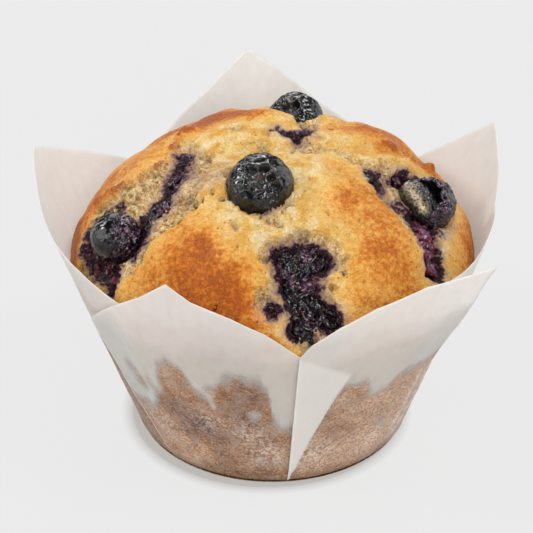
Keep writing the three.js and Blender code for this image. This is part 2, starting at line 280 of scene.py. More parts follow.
def plus(tree, *values):
    return math_node(tree, "ADD", *values)


def larger(tree, *values):
    return math_node(tree, "MAXIMUM", *values)


def remap(tree, value, low, high, to_low=0.0, to_high=1.0):
    """A value from low to high as one from to_low to to_high, and no further."""
    values = {"Value": value, 1: low, 2: high, 3: to_low, 4: to_high}
    return add(tree, "ShaderNodeMapRange", values, clamp=True).outputs[0]


def mask_of(tree, name):
    """A mask that is stored on the points of the mesh."""
    return add(tree, "ShaderNodeAttribute", attribute_name=name).outputs["Fac"]


print("helpers for nodes:", ", ".join(helper.__name__ for helper in (add, math_node, remap, mask_of)))

# %% [markdown]
# ## Node groups for the finishes
# Food looks real when its colour is uneven at several sizes at once. The *Mottle* group makes such
# an uneven mask, and every material below uses it with its own sizes. The *Speckle* group makes
# small separate spots: painted shade in pores, specks, light grains that are partly painted glints
# in the cake, and seeds in the flesh.


# %% Mottle and Speckle
def new_group(name, inputs, outputs):
    """An empty node group with number inputs (and their usual values) and number outputs."""
    group = bpy.data.node_groups.new(name, "ShaderNodeTree")
    for socket, value in inputs.items():
        made = group.interface.new_socket(socket, in_out="INPUT", socket_type="NodeSocketFloat")
        made.default_value = value
    for socket in outputs:
        group.interface.new_socket(socket, in_out="OUTPUT", socket_type="NodeSocketFloat")
    return group, group.nodes.new("NodeGroupInput"), group.nodes.new("NodeGroupOutput")


def mottle_group():
    """Uneven mask: coarse clouds with finer ones on them, cut between Low and High."""
    inputs = {"Size": 4.0, "Fine": 4.0, "Low": 0.4, "High": 0.6}
    group, entry, leave = new_group("Mottle", inputs, ["Mask"])
    place = add(group, "ShaderNodeTexCoord").outputs["Object"]
    scale = math_node(group, "DIVIDE", 1 / MM, entry.outputs["Size"])
    values = {"Vector": place, "Scale": scale, "Detail": entry.outputs["Fine"], "Roughness": 0.62}
    cloud = add(group, "ShaderNodeTexNoise", values)
    mask = remap(group, cloud.outputs[0], entry.outputs["Low"], entry.outputs["High"])
    group.links.new(mask, leave.inputs["Mask"])
    return group


def speckle_group():
    """Small separate round spots of one size, as many as Amount says."""
    inputs = {"Size": 1.0, "Amount": 0.3, "Soft": 0.1}
    group, entry, leave = new_group("Speckle", inputs, ["Mask"])
    place = add(group, "ShaderNodeTexCoord").outputs["Object"]
    scale = math_node(group, "DIVIDE", 1 / MM, entry.outputs["Size"])
    cells = add(group, "ShaderNodeTexVoronoi", {"Vector": place, "Scale": scale})
    edge = plus(group, entry.outputs["Amount"], entry.outputs["Soft"])
    mask = remap(group, cells.outputs["Distance"], entry.outputs["Amount"], edge, 1.0, 0.0)
    group.links.new(mask, leave.inputs["Mask"])
    return group


MOTTLE = mottle_group()
SPECKLE = speckle_group()


def grouped(tree, group, **values):
    """The mask of a node group that is placed with its own values."""
    node = add(tree, "ShaderNodeGroup", node_tree=group)
    for socket, value in values.items():
        node.inputs[socket].default_value = value
    return node.outputs["Mask"]


def mottle(tree, size, low=0.4, high=0.6, fine=4.0):
    return grouped(tree, MOTTLE, Size=size, Fine=fine, Low=low, High=high)


def speckle(tree, size, amount, soft=0.12):
    return grouped(tree, SPECKLE, Size=size, Amount=amount, Soft=soft)


print("groups:", MOTTLE.name, SPECKLE.name)

# %% [markdown]
# ## Colours in layers
# Colours are written as the three screen values from 0 to 255 that a picker shows, and turned into
# the light that they stand for. A finish is built like paint: a ground colour, and thin layers
# over it, each with a mask that says where it lies.


# %% Colour helpers
def colour(red, green, blue):
    """A screen colour from 0 to 255 as the light it stands for."""
    shares = [value / 255 for value in (red, green, blue)]
    return [*(share / 12.92 if share < 0.04 else ((share + 0.055) / 1.055) ** 2.4 for share in shares), 1]


def blend_colour(tree, share, first, second):
    """`first` where the share is 0 and `second` where it is 1; both are colours or sockets."""
    node = add(tree, "ShaderNodeMix", data_type="RGBA", clamp_factor=True)
    give(tree, node.inputs[0], share)
    for socket, tone in ((node.inputs[6], first), (node.inputs[7], second)):
        give(tree, socket, tone if isinstance(tone, bpy.types.NodeSocket) else colour(*tone))
    return node.outputs[2]


def laid_over(tree, surface, layers):
    """A surface under (mask, colour) layers, the last on top."""
    for mask, tone in layers:
        surface = blend_colour(tree, mask, surface, tone)
    return surface


def shade_colour(tree, value, tone):
    """The same hue, lighter or darker as the value says."""
    return add(tree, "ShaderNodeHueSaturation", {"Value": value, "Color": tone}).outputs[0]


def ramp(tree, value, stops):
    """A colour that changes with a value, through (place, colour) stops."""
    node = add(tree, "ShaderNodeValToRGB", {"Fac": value})
    elements = node.color_ramp.elements
    while len(elements) < len(stops):
        elements.new(0.5)
    for element, (place, tone) in zip(elements, stops):
        element.position = place
        element.color = colour(*tone)
    return node.outputs["Color"]


print("middle grey as light:", round(colour(128, 128, 128)[0], 3))

# %% [markdown]
# ## A material in three steps
# Each material of the muffin begins with an empty Principled shader, gets its colour and shine as
# values or sockets, and then a little relief that only bends the shading. Larger relief is always
# in the mesh.


# %% Material helpers
def new_material(name):
    """A material with an empty Principled shader; returns material, node tree and shader."""
    material = bpy.data.materials.new(name)
    material.use_nodes = True
    return material, material.node_tree, material.node_tree.nodes["Principled BSDF"]


def set_shader(tree, shader, **values):
    """Set or link the shader's sockets; underscores in the names stand for spaces."""
    for name, value in values.items():
        give(tree, shader.inputs[name.replace("_", " ")], value)


def relief(tree, shader, height, depth_mm, strength=1.0):
    """Fine bumps in the shading: `height` from 0 to 1 stands for `depth_mm` of relief."""
    values = {"Height": height, "Distance": depth_mm * MM, "Strength": strength}
    tree.links.new(add(tree, "ShaderNodeBump", values).outputs[0], shader.inputs["Normal"])


print("helpers for materials:", ", ".join(helper.__name__ for helper in (new_material, set_shader, relief)))

print("mid grey is", round(colour(128, 128, 128)[0], 3), "as light")

# %% [markdown]
# ## Where things are on the dome
# The top of the cake is half of a flattened ball. All marks on it, such as tears in the crust and
# stains of juice, are given as seen from straight above, and lifted on to the ball before any
# distance is measured, so that a mark near the steep rim keeps its width.

# %% The smooth dome
DOME_RADIUS = 42.1
DOME_RISE = 27.3
DOME_LEVEL = 38.1
FOOT_RADIUS = 29.4
WALL_SLOPE = 0.346
CRUST_START = 8


def wall_radius(height):
    """Radius of the cone of the wall at a height."""
    return FOOT_RADIUS + WALL_SLOPE * height


def dome_height(x, y):
    flat = np.minimum((x * x + y * y) / DOME_RADIUS**2, 1)
    return DOME_LEVEL + DOME_RISE * np.sqrt(1 - flat)


def dome_normals(points):
    scale = np.array([DOME_RADIUS**2, DOME_RADIUS**2, DOME_RISE**2])
    normals = (points - [0, 0, DOME_LEVEL]) / scale
    return normals / np.linalg.norm(normals, axis=-1, keepdims=True)


def on_dome(x, y):
    """The point of the dome above (x, y)."""
    return np.array([x, y, float(dome_height(x, y))])


def beyond_run(points, run):
    """Distance outside a run of (x, y, half width) marks on the dome; less than 0 is inside it."""
    least = np.full(len(points), 1e9)
    for (x0, y0, wide0), (x1, y1, wide1) in zip(run, run[1:]):
        start, end = on_dome(x0, y0), on_dome(x1, y1)
        along = end - start
        share = np.clip((points - start) @ along / (along @ along), 0, 1)
        away = np.linalg.norm(points - start - share[:, None] * along, axis=1)
        least = np.minimum(least, away - (wide0 + share * (wide1 - wide0)))
    return least


def beyond_runs(points, runs):
    return np.min([beyond_run(points, run) for run in runs], axis=0)


def spots(points, marks):
    """Sum of soft round spots, each (x, y, reach, amount)."""
    total = np.zeros(len(points))
    for x, y, reach, amount in marks:
        total += amount * bump(np.linalg.norm(points - on_dome(x, y), axis=1), reach)
    return total


print("top of the dome:", round(float(dome_height(0, 0)), 1), "mm high")

# %% [markdown]
# ## Tears of the bake
# The crust sets first and tears when the middle keeps rising. So the dome has browned plates with
# pale, crumbly tears between them. These lists say where, in millimetres from the middle. A *run*
# is a line of (x, y, half width) marks, and a *spot* is (x, y, reach, amount).

# %% Tears and plates
# PALE_RUNS stay soft and pale; OPEN_RUNS tear and show the crumb; POCKETS are deep small holes;
# LIPS are turned-up edges of the crust.
PALE_RUNS = [
    [(-38, -12, 3), (-33, -14, 9.5), (-26, -13, 9.5), (-19, -9, 9), (-13, -7, 9), (-7, -9, 11),
     (0, -9, 10), (4, -8, 5)],
    [(-15, 3, 5), (-6, 3, 6), (2, 3, 6)],
    [(-3.5, -16, 9.5), (-1, -22, 8.5), (2, -26, 7.6), (5.5, -30, 7.8), (5, -34, 6.8), (7, -38, 7.2),
     (9, -41, 6)],
    [(0, -2, 6), (8, 2, 5), (14, 1, 4.2), (19, -1.5, 3.4), (25, -5, 6.5), (31, -6, 8.5)],
    [(31, -8, 7.5), (31.7, -15, 4.6), (33.4, -21, 3.6), (34, -24, 3)],
    [(5, 4, 4.5), (8, 11, 3.4), (5, 19, 6), (0, 24, 3), (-7, 28, 2.6), (-12, 36, 5)],
    [(9, 15, 3), (15, 24, 2.6), (12, 34, 5.5)],
]
OPEN_RUNS = [
    [(-36, -4, 1.2), (-33, -8, 3.4), (-28, -9, 4.2), (-24, -8, 4.6), (-21, -4, 4), (-18.5, -0.5, 3),
     (-17.5, 5, 1.2)],
    [(-24, -20.6, 2.4), (-20.5, -17.5, 3.4), (-18.5, -12, 4), (-16.5, -7, 3.8), (-15, -3, 2.4)],
    [(-24.2, -19.8, 2.6), (-28, -23, 2.4), (-32.8, -24.4, 1.8)],
    [(-32, -9, 3.4), (-37, -10, 3), (-38.4, -14, 2.6), (-35, -19.5, 2.6), (-33, -24, 2)],
    [(0.5, -29.5, 2.6), (5, -28.4, 3.0), (11, -30, 3.4)],
    [(5, -31, 5.4), (5, -36, 5.4), (9, -39, 5.4)],
    [(-1.4, -37.4, 1.4), (0.6, -38.6, 1.8)],
    [(5.5, 1.5, 2.0), (9, -0.2, 1.2), (14, 0.3, 1.1), (19.5, -3, 1.4), (23.5, -1.8, 1.8)],
    [(20.5, -6.5, 1.7), (22.5, -11.5, 1.7), (26, -15.8, 1.8), (29, -17.5, 2)],
    [(25, -5, 2.4), (29, -3.5, 2.8)],
    [(30.8, -13, 3.2), (31.3, -19, 2.7), (32.1, -22.4, 2.4)],
    [(-8, -17.4, 0.9), (-5, -21.4, 0.9), (-0.5, -22.4, 1.5), (3.5, -19.6, 0.9)],
    [(8, 9, 1.6), (7, 16, 3.2), (0, 24, 1.8), (-7, 29, 1.6), (-12, 36, 4.4)],
    [(13, 22, 1.5), (12, 35, 5)],
]
POCKETS = [
    (-18.6, -20.8, 1.0, 1.2), (-15.6, -17.2, 1.2, 1.2), (-19.8, -17.4, 0.8, 0.9), (-17.2, -14.2, 0.8, 0.8),
    (1.2, -28.2, 0.8, 1.1), (6.2, -26.6, 1.0, 1.2), (-1.4, -31, 0.9, 1.2), (12.6, -29.6, 0.8, 0.9),
    (22.5, -0.5, 0.8, 0.9), (26.5, 4.4, 1.0, 0.9), (12.2, 8.4, 0.7, 0.8), (-31.5, -6.6, 0.8, 0.9),
    (-26.6, -6.2, 0.9, 0.9), (-23.2, -3.2, 0.8, 0.8), (-5.2, -21.6, 0.6, 0.7), (11.6, -34.6, 0.8, 0.8),
]
LIPS = [
    [(-36.6, -0.4, 0), (-32, -4.2, 0), (-28.4, -4.4, 0), (-25.2, -3, 0), (-22.4, -1.6, 0), (-20.4, 1, 0)],
    [(-20.4, 1, 0), (-19.2, 7, 0), (-17.4, 10, 0)],
    [(23.5, 8.4, 0), (26.6, 6.8, 0), (28.4, 4.2, 0)],
]
print("tears:", len(OPEN_RUNS), "and small holes:", len(POCKETS))

# %% [markdown]
# ## Large forms of the dome
# Dough rises unevenly, so the dome isn't a true ball. The frame's own solid already has the large
# forms, and the mesh must keep to them: long furrows between the plates, proud slabs, pits where a
# berry burst, and a slow swell over the whole dome. Small trims then fit the detailed surface.

# %% Swells, furrows and pits
# A furrow is (run, width, depth) and a swell is (rise, waves along x, waves along y, start).
FURROWS = [
    ([(-33, -19, 0), (-25, -12, 0), (-19, -6, 0), (-12, -2, 0), (-3, -4, 0)], 4.2, 1.5),
    ([(-3, -4, 0), (8, -2, 0), (17, -7, 0), (24, -8, 0), (30, -8, 0)], 4.5, 1.3),
    ([(2, -27, 0), (5, -33, 0), (8, -39, 0)], 4.0, 1.3),
    ([(0, -3, 0), (3, 6, 0), (8, 13, 0)], 3.6, 1.0),
    ([(12, 2, 0), (20, 2, 0), (27, 7, 0), (31, 11, 0)], 2.2, 1.0),
    ([(8, 14, 0), (1, 22, 0), (-7, 28, 0), (-12, 36, 0)], 3.6, 1.2),
    ([(13, 19, 0), (15, 27, 0), (12, 36, 0)], 4.0, 1.2),
]
SLABS = [
    (-14, -29, 11, 0.7), (19, -23, 11, 0.7), (-31, 5, 9, 0.3), (-8, 13, 8, 0.3), (0, 13, 4, 1.0),
    (22, 12, 8, 0.5), (30, 9, 3, 0.9), (2, 33, 7, 0.5), (25, 24, 9, 0.5),
]
PITS = [
    (-31, -16, 7.5, 1.4), (31, -8, 7, 1.2), (6, -32, 6.5, 1.6), (8, -38, 5, 1.4),
    (-17, -18, 3.4, 1.5), (11, 34, 5.5, 1.4),
]
TRIMS = [
    (-36, 7, 9, -1.5), (-27, 18, 9, -1.5), (-16, 22, 7, -0.9), (-8, 26, 5, 0.5), (17, 22, 6, -0.8),
    (31, 13.5, 5.5, -2.2), (30, 8, 3.4, -1.6), (29.2, 14.8, 2, -0.9), (37.2, 9.6, 4.0, -2.1),
    (32.4, 6.6, 1.6, 1.9), (4.5, 14.5, 3, 0.7), (8.5, 14, 2.8, 2.3), (12, 15.5, 3, 0.9),
]
SWELLS = [
    (0.15, 0.23, -0.21, 2.3), (0.15, 0.23, 0.21, -0.1), (0.22, 0.47, -0.33, 2.0), (0.15, 0.29, 0.61, 0.0),
]
print("large forms:", len(FURROWS), "furrows,", len(SLABS), "slabs,", len(PITS), "pits")

# %% [markdown]
# ## Berries and their flesh
# Berries near the top swell in the heat and some burst. Whole ones keep their round skin; burst ones
# leave craters, juice and strips of flesh, which follow the tears. Each berry has a middle, a half
# width and half height, and the direction its crown faces: how far up, and its bearing.

# %% Places of berries and flesh
FLESH_RUNS = {
    "pulp_front": [
        [(2.0, -30.2, 1.8), (5.6, -30.2, 2.8), (9.2, -30.8, 2.2)],
        [(4.2, -32, 2.8), (5.2, -35.4, 3.1), (7.2, -38, 2.9), (5.8, -40, 2.3)],
        [(8, -37.6, 2.2), (11.6, -38.6, 1.9)],
    ],
    "pulp_left": [
        [(-25.8, -15.4, 2.2), (-23.9, -13.6, 2.0), (-22.9, -11.8, 0.8)],
        [(-22.0, -10.4, 1.0), (-21.0, -7.0, 0.8), (-19.8, -3.4, 0.5), (-18.6, -0.8, 0.1)],
    ],
    "pulp_left_drip": [
        [(-33.6, -20.4, 1.3), (-32.4, -22.6, 1.0), (-32.2, -24.8, 0.4)],
        [(-34.4, -7.8, 0.6), (-36.8, -8.6, 0.9), (-37.9, -12, 1.1), (-36.6, -16, 1.2), (-34.6, -19.4, 1.4)],
    ],
    "pulp_right": [[(31.0, -13.6, 1.9), (31.2, -16.2, 2.2), (31.5, -18.8, 2.2), (32.3, -21.8, 2.3)]],
    "pulp_right_top": [[(28.0, -1.6, 0.4), (26.6, -2.6, 0.9), (25.6, -4.2, 0.6)]],
    "pulp_right_spot": [[(20.6, -5.2, 0.8), (20.2, -6.6, 0.7), (21.0, -8.6, 0.3)]],
    "pulp_top": [
        [(1.0, 5.4, 0.5), (2.2, 5.0, 0.3)],
        [(3.7, 4.4, 0.4), (5.0, 4.1, 0.4)],
        [(6.4, 4.9, 0.1), (7.6, 5.2, 0.2)],
    ],
    "pulp_spot": [[(-0.7, -38.4, 0.5), (0.2, -38.9, 0.6)]],
    "pulp_rear": [[(15, 32.6, 3.0), (11, 34.2, 3.8), (7.4, 33.2, 2.6)], [(9, 36, 2.4), (6.5, 38.5, 1.6)]],
}
BERRIES = {
    "berry_front": dict(at=(-2.5, -15.2, 63.5), wide=6.6, tall=5.9, lift=49, bearing=-93),
    "berry_back": dict(at=(4.7, 20, 59.7), wide=6.4, tall=4.7, lift=52, bearing=-124),
    "berry_left": dict(at=(-30.8, -16.4, 52.3), wide=5.2, tall=6.1, lift=12, bearing=-178),
    "berry_rear": dict(at=(-12, 32.8, 48.2), wide=5.8, tall=5.4, lift=44, bearing=112),
}
TORN_SKIN = dict(at=(31.9, -6.4, 54.3), wide=5.9)
ALL_FLESH = [run for runs in FLESH_RUNS.values() for run in runs]
print("round berries:", len(BERRIES), "and strips of flesh:", len(FLESH_RUNS))

# %% [markdown]
# ## Colours of the bake
# Juice soaks into the crumb beside a crater and dries violet. Crust browns first where it stands
# proud or thin, so the brown is uneven from plate to plate. A negative amount means paler.

# %% Stains and browning
# FLAKES thin the flesh to a paler shred; STAINS are runs and TINTS are spots of juice.
FLAKES = [(9.3, -33.4, 2.3, 1.9), (1.4, 5.4, 1.8, 0.6), (-19.6, -3, 2.2, 0.5), (5.6, -39.6, 1.8, 0.3)]
STAINS = [
    [(-32, -8.6, 1.6), (-36, -7.6, 1.6), (-38.6, -11, 2.2), (-37.4, -15.6, 2.4), (-34.6, -19.4, 2.2),
     (-33, -24, 1.4)],
    [(-28.6, -22.4, 1.2), (-25.4, -17.5, 1.2)],
    [(24.8, -4.6, 0.7), (28, -2.4, 0.8), (31.6, -1.6, 0.3)],
    [(24.8, -7.4, 0.2), (26.6, -12.4, 0.6), (28.8, -14.6, 1.4)],
]
TINTS = [
    (-20, -6, 3.4, 0.55), (-17.5, -0.5, 3, 0.45), (-15, -9.5, 5, 0.22), (-12, -13, 3.5, 0.16),
    (-10.5, -6.5, 3, 0.14), (-17, -16, 3, 0.12), (4, -1, 4, 0.1), (-9.5, -12, 2.6, 0.16),
    (-24, -13, 3.4, 0.35), (22.4, -8, 2.0, 0.4), (24.4, -12, 2.2, 0.4), (28, -14, 3, 0.4),
    (34, -13, 2.6, 0.4), (36, -9, 3.2, 0.4), (8, 9, 2.2, 0.45), (5.5, 2, 3, 0.2), (5, -33, 6, 0.25),
    (21, -8, 2.6, 0.35), (-1, -22.5, 2.5, 0.16), (-26.5, -21, 2.6, 0.4), (7.4, 9.8, 1.5, 0.8),
]
BROWN_SPOTS = [
    (-13.5, -30.8, 6.5, 0.32), (-10.7, -37, 6.5, 0.36), (-19, -33, 6, 0.12), (-2.5, -39, 5, 0.2),
    (-30, -27.5, 5, -0.3), (16, -14, 5, 0.08), (22, -22, 7, 0.08), (14, -35, 6, 0.12), (8, -12, 5, -0.14),
    (-5, 18, 7, 0.34), (-20, 17, 7, 0.25), (-8, 5, 5, -0.12), (3, 14, 5, -0.1), (21, 15, 7, 0.3),
    (-14, 14, 6, 0.25), (39, -4, 7, 0.1), (-37, 0, 7, 0.22), (-40, -8, 5, 0.25), (32.6, 6.6, 3, 0.5),
    (20, 30, 9, 0.14), (-25, 28, 9, 0.18), (-28, 4, 4, 0.1),
]
print("juice marks:", len(STAINS) + len(TINTS), "and brown spots:", len(BROWN_SPOTS))

# %% [markdown]
# ## The cake
# The dome is a grid whose square rows are rounded into a disc. A disc made of rings would crowd
# its points in the middle; this one spaces them evenly, about a third of a millimetre apart, so
# crumbs and ragged crust edges are real shapes. Each point moves along the dome's own normal.

# %% Grid of the dome
CAKE_SIDE = 296
PAPER_GAP = 0.93
CAKE_TILT = math.asin((wall_radius(DOME_LEVEL + 1) - PAPER_GAP) / DOME_RADIUS)


def disc_grid(side):
    """A square grid pressed into a disc of radius 1: distance and direction of each point."""
    line = np.linspace(-1, 1, side)
    x, y = np.meshgrid(line, line)
    reach = np.maximum(np.abs(x), np.abs(y))
    with np.errstate(divide="ignore", invalid="ignore"):
        turn = np.where(
            np.abs(x) >= np.abs(y),
            np.where(x >= 0, 0, np.pi) + np.pi / 4 * np.nan_to_num(y / x),
            np.where(y >= 0, np.pi / 2, -np.pi / 2) - np.pi / 4 * np.nan_to_num(x / y),
        )
    return reach.ravel(), turn.ravel()


def dome_grid(side):
    reach, turn = disc_grid(side)
    tilt = CAKE_TILT * reach
    return around(DOME_RADIUS * np.sin(tilt), turn, DOME_LEVEL + DOME_RISE * np.cos(tilt))


print("the cake's rim tilts", round(math.degrees(CAKE_TILT)), "degrees from the top")

# %% [markdown]
# ## Relief of the crust and the crumb
# Large swells and furrows come from the lists. Where the crust is torn, two sizes of round cells
# make the bubbles of a sponge, and noise bends them so that no two are alike. A third rule lowers
# the cake where a berry sits in it, so that nothing pokes through the berry.

# %% Relief of the cake
BUBBLES = ((0.5, 2.1, 63), (0.55, 1.0, 67))
CRUMB_LEVEL = 0.95


def large_relief(points):
    """The forms that the frame's own solid has too: swells, slabs, furrows and pits."""
    height = spots(points, SLABS) - spots(points, PITS)
    for rise, along_x, along_y, start in SWELLS:
        height += rise * np.sin(along_x * points[:, 0] + along_y * points[:, 1] + start)
    for run, width, depth in FURROWS:
        height -= depth * bump(beyond_run(points, run), width)
    return height * smooth_step(DOME_LEVEL + 1, DOME_LEVEL + CRUST_START, points[:, 2])


def pale_distance(points):
    """Distance outside the pale zones, with a wandering line; less than 0 is inside them."""
    return beyond_runs(points, PALE_RUNS) + 1.8 * rough_noise(points, 6, 3, 13)


def tear_mask(points):
    """1 in the torn, crumbly places and 0 on the crust, with a ragged line between."""
    ragged = 1.1 * rough_noise(points, 5, 2, 11) + 1.1 * rough_noise(points, 1.9, 3, 21)
    beyond = beyond_runs(points, OPEN_RUNS) + ragged
    patches = 2.2 - 4.0 * rough_noise(points, 4.4, 4, 91) + 0.5 * np.maximum(0, pale_distance(points) + 3)
    beyond = np.minimum(beyond, patches)
    return 1 - smooth_step(-0.6, 0.5, beyond), beyond


def crumb_relief(points):
    """Height of the torn crumb: thin walls round hollows of two sizes, all uneven."""
    bent = points + 0.6 * rough_noise(points, 2.4, 3, 61)[:, None]
    walls = sum(share * cell_distance(bent, size, channel) for share, size, channel in BUBBLES)
    return 0.5 * rough_noise(points, 3.2, 5, 51) + 0.22 * noise(points, 0.8, 55) + walls - CRUMB_LEVEL


def under_ball(points, normals, rise, centre, radius):
    """Lower the surface where a ball sits in it, to just under the ball."""
    away = points - np.array(centre)
    along = np.sum(away * normals, axis=1)
    gap = along**2 - np.sum(away**2, axis=1) + radius**2
    low = -along - np.sqrt(np.maximum(gap, 0))
    return np.where((gap > 0) & (low < rise), low, rise)


print("crumb height at one place:", round(float(crumb_relief(np.array([[5.0, 5.0, 64.0]]))[0]), 2), "mm")

# %% [markdown]
# ## One height and five masks for each point
# The crust is a skin over the crumb, thick in the middle of a plate and turned up at some edges.
# Craters go deeper, where flesh will lie. The same distances also say how brown, torn, stained,
# how deep in painted shade and how soft each point is, so colour and shape always agree.

# %% Height and masks
CRUST_THICKNESS = 0.3
PLATE_THICKNESS = 0.35
LIP_HEIGHT = 1.0
CRUMB_DEPTH = 0.45
CRATER_DEPTH = 1.9
POCKET_DEPTH = 1.2


def juice_mask(points, rise, flesh):
    """How much juice has soaked in: along the stains, round the flesh and round the berries."""
    line = beyond_runs(points, STAINS) + 1.2 * rough_noise(points, 2.6, 3, 37)
    stain = 0.9 * smooth_step(1.4, -1.4, line) + np.clip(spots(points, TINTS), 0, 1)
    stain = stain + smooth_step(1.3, 0.2, flesh) + 0.35 * smooth_step(3.4, 0.8, flesh)
    for berry in BERRIES.values():
        away = np.linalg.norm(points + rise[:, None] * dome_normals(points) - berry["at"], axis=1)
        stain += 0.4 * smooth_step(berry["wide"] + 0.9, berry["wide"], away)
    return np.clip(stain, 0, 1.5)


def brown_mask(points, pale, soft, lip):
    """How browned the crust is: more away from the tears, on lips and low on the rim."""
    browning = 0.24 + 0.44 * smooth_step(-4, 7.5, pale) + spots(points, BROWN_SPOTS) + 0.5 * lip
    browning += 0.13 * rough_noise(points, 6, 3, 81) + 0.14 * smooth_step(50, 42, points[:, 2])
    browning += 0.2 * soft * np.maximum(0, rough_noise(points, 3.2, 3, 83))
    return np.clip(browning, 0, 1)


def cake_surface(points):
    """Rise of each point over the smooth dome, and the masks that the cake's material reads."""
    tear, torn = tear_mask(points)
    pale = pale_distance(points)
    soft = smooth_step(5, -3, pale)
    flesh = beyond_runs(points, ALL_FLESH) + 0.9 * rough_noise(points, 2.4, 3, 31)
    crater = smooth_step(1.1, -0.9, flesh)
    pocket = smooth_step(0.45, 0.75, spots(points, POCKETS) + 0.6 * rough_noise(points, 1.3, 3, 39))
    lip = bump(beyond_runs(points, LIPS), 1.3) * (0.6 + 0.9 * rough_noise(points, 2.9, 3, 35))
    skin = CRUST_THICKNESS + PLATE_THICKNESS * smooth_step(0, 3, torn) + LIP_HEIGHT * lip
    skin = skin + (0.06 + 0.12 * soft) * rough_noise(points, 2.5, 4, 41)
    crumb = crumb_relief(points)
    rise = large_relief(points) + spots(points, TRIMS)
    rise += (1 - tear) * skin
    rise += tear * (crumb - CRUMB_DEPTH) * (1 - crater) - CRATER_DEPTH * crater - POCKET_DEPTH * pocket
    # Painted shade: the low crumb between bubbles and the pockets get a darker colour, as hollows in shade.
    hollow_shade = tear * smooth_step(-0.1, -0.75, crumb) + 0.6 * pocket * (1 - crater)
    masks = {
        "brown": brown_mask(points, pale, soft, lip),
        "tear": tear,
        "stain": juice_mask(points, rise, flesh),
        "hollow_shade": np.clip(hollow_shade, 0, 1),
        "soft": soft,
    }
    return rise, masks


print("masks of the cake:", ", ".join(cake_surface(dome_grid(2))[1]))

# %% [markdown]
# ## The cake in one skin
# The grid's rim goes on downwards in rows, along the hidden cone inside the paper, and ends in one
# point in the middle of the underside. That makes a closed skin, as a real solid has.

# %% Mesh of the cake
CAKE_FLOOR = 0.85
SIDE_LEVELS = (37.0, 30.0, 22.0, 12.0, 2.2, CAKE_FLOOR)
FLOOR_ROUNDING = 2
BERRY_BED = 0.25
TORN_BED = 0.2


def cake_side(edge):
    """Rows of points from the rim of the dome down the hidden side to the underside."""
    turn = np.arctan2(edge[:, 1], edge[:, 0])
    rows = []
    for height in SIDE_LEVELS:
        radius = wall_radius(height) - PAPER_GAP - (FLOOR_ROUNDING if height == CAKE_FLOOR else 0)
        rows.append(around(radius, turn, height))
    return rows


def rim_loop(side):
    """Numbers of the grid's outer points, counterclockwise."""
    index = np.arange(side * side).reshape(side, side)
    return np.concatenate([index[0, :-1], index[:-1, -1], index[-1, :0:-1], index[:0:-1, 0]])


def build_cake(material):
    smooth = dome_grid(CAKE_SIDE)
    normals = dome_normals(smooth)
    rise, masks = cake_surface(smooth)
    for berry in BERRIES.values():
        rise = under_ball(smooth, normals, rise, berry["at"], (berry["wide"] + berry["tall"]) / 2 + BERRY_BED)
    rise = under_ball(smooth, normals, rise, TORN_SKIN["at"], TORN_SKIN["wide"] + TORN_BED)
    top = smooth + rise[:, None] * normals
    loop = rim_loop(CAKE_SIDE)
    rows = cake_side(top[loop])
    points = np.vstack([top, *rows, [[0, 0, CAKE_FLOOR]]])
    faces = grid_faces(CAKE_SIDE, CAKE_SIDE, closed=False)
    count, first = len(loop), len(top)
    below = [loop, *(first + row * count + np.arange(count) for row in range(len(rows)))]
    for upper, lower in zip(below, below[1:]):
        faces += np.stack([upper, lower, np.roll(lower, -1), np.roll(upper, -1)], 1).tolist()
    last = below[-1]
    faces += [(int(last[i]), len(points) - 1, int(last[(i + 1) % count])) for i in range(count)]
    extra = len(points) - len(top)
    masks = {name: np.concatenate([values, np.zeros(extra)]) for name, values in masks.items()}
    return make_piece("cake", points, faces, masks, material)


print("rim of the grid:", len(rim_loop(CAKE_SIDE)), "points")

# %% [markdown]
# ## Crust and crumb
# The crust runs from straw yellow beside the tears to deep orange brown on the proud plates. We
# drive one colour ramp with the browning mask plus mottling, and lay a paler ramp over it where
# the crust stayed soft. Sugar and flour leave fine light and dark grains; the light grains also
# paint the glints of the crust's fine bumps, and the dark ones paint the shade in its crevices.
# The crumb is paler still, and juice stains both last. A little light goes through cake, so it
# gets some subsurface.


# %% Colours of the cake
CRUST_STOPS = [
    (0.1, (242, 208, 130)),
    (0.4, (239, 187, 97)),
    (0.62, (231, 162, 68)),
    (0.82, (204, 113, 8)),
    (1.0, (166, 78, 0)),
]
SOFT_STOPS = [
    (0.0, (222, 158, 58)),
    (0.3, (234, 184, 92)),
    (0.65, (240, 205, 134)),
    (1.0, (246, 224, 176)),
]
CRUMB_STOPS = [
    (0.0, (178, 126, 68)),
    (0.3, (222, 178, 112)),
    (0.6, (240, 206, 146)),
    (1.0, (250, 232, 190)),
]
JUICE_STOPS = [
    (0.0, (214, 190, 164)),
    (0.25, (182, 154, 146)),
    (0.5, (122, 90, 100)),
    (0.75, (76, 38, 52)),
    (1.0, (40, 16, 28)),
]


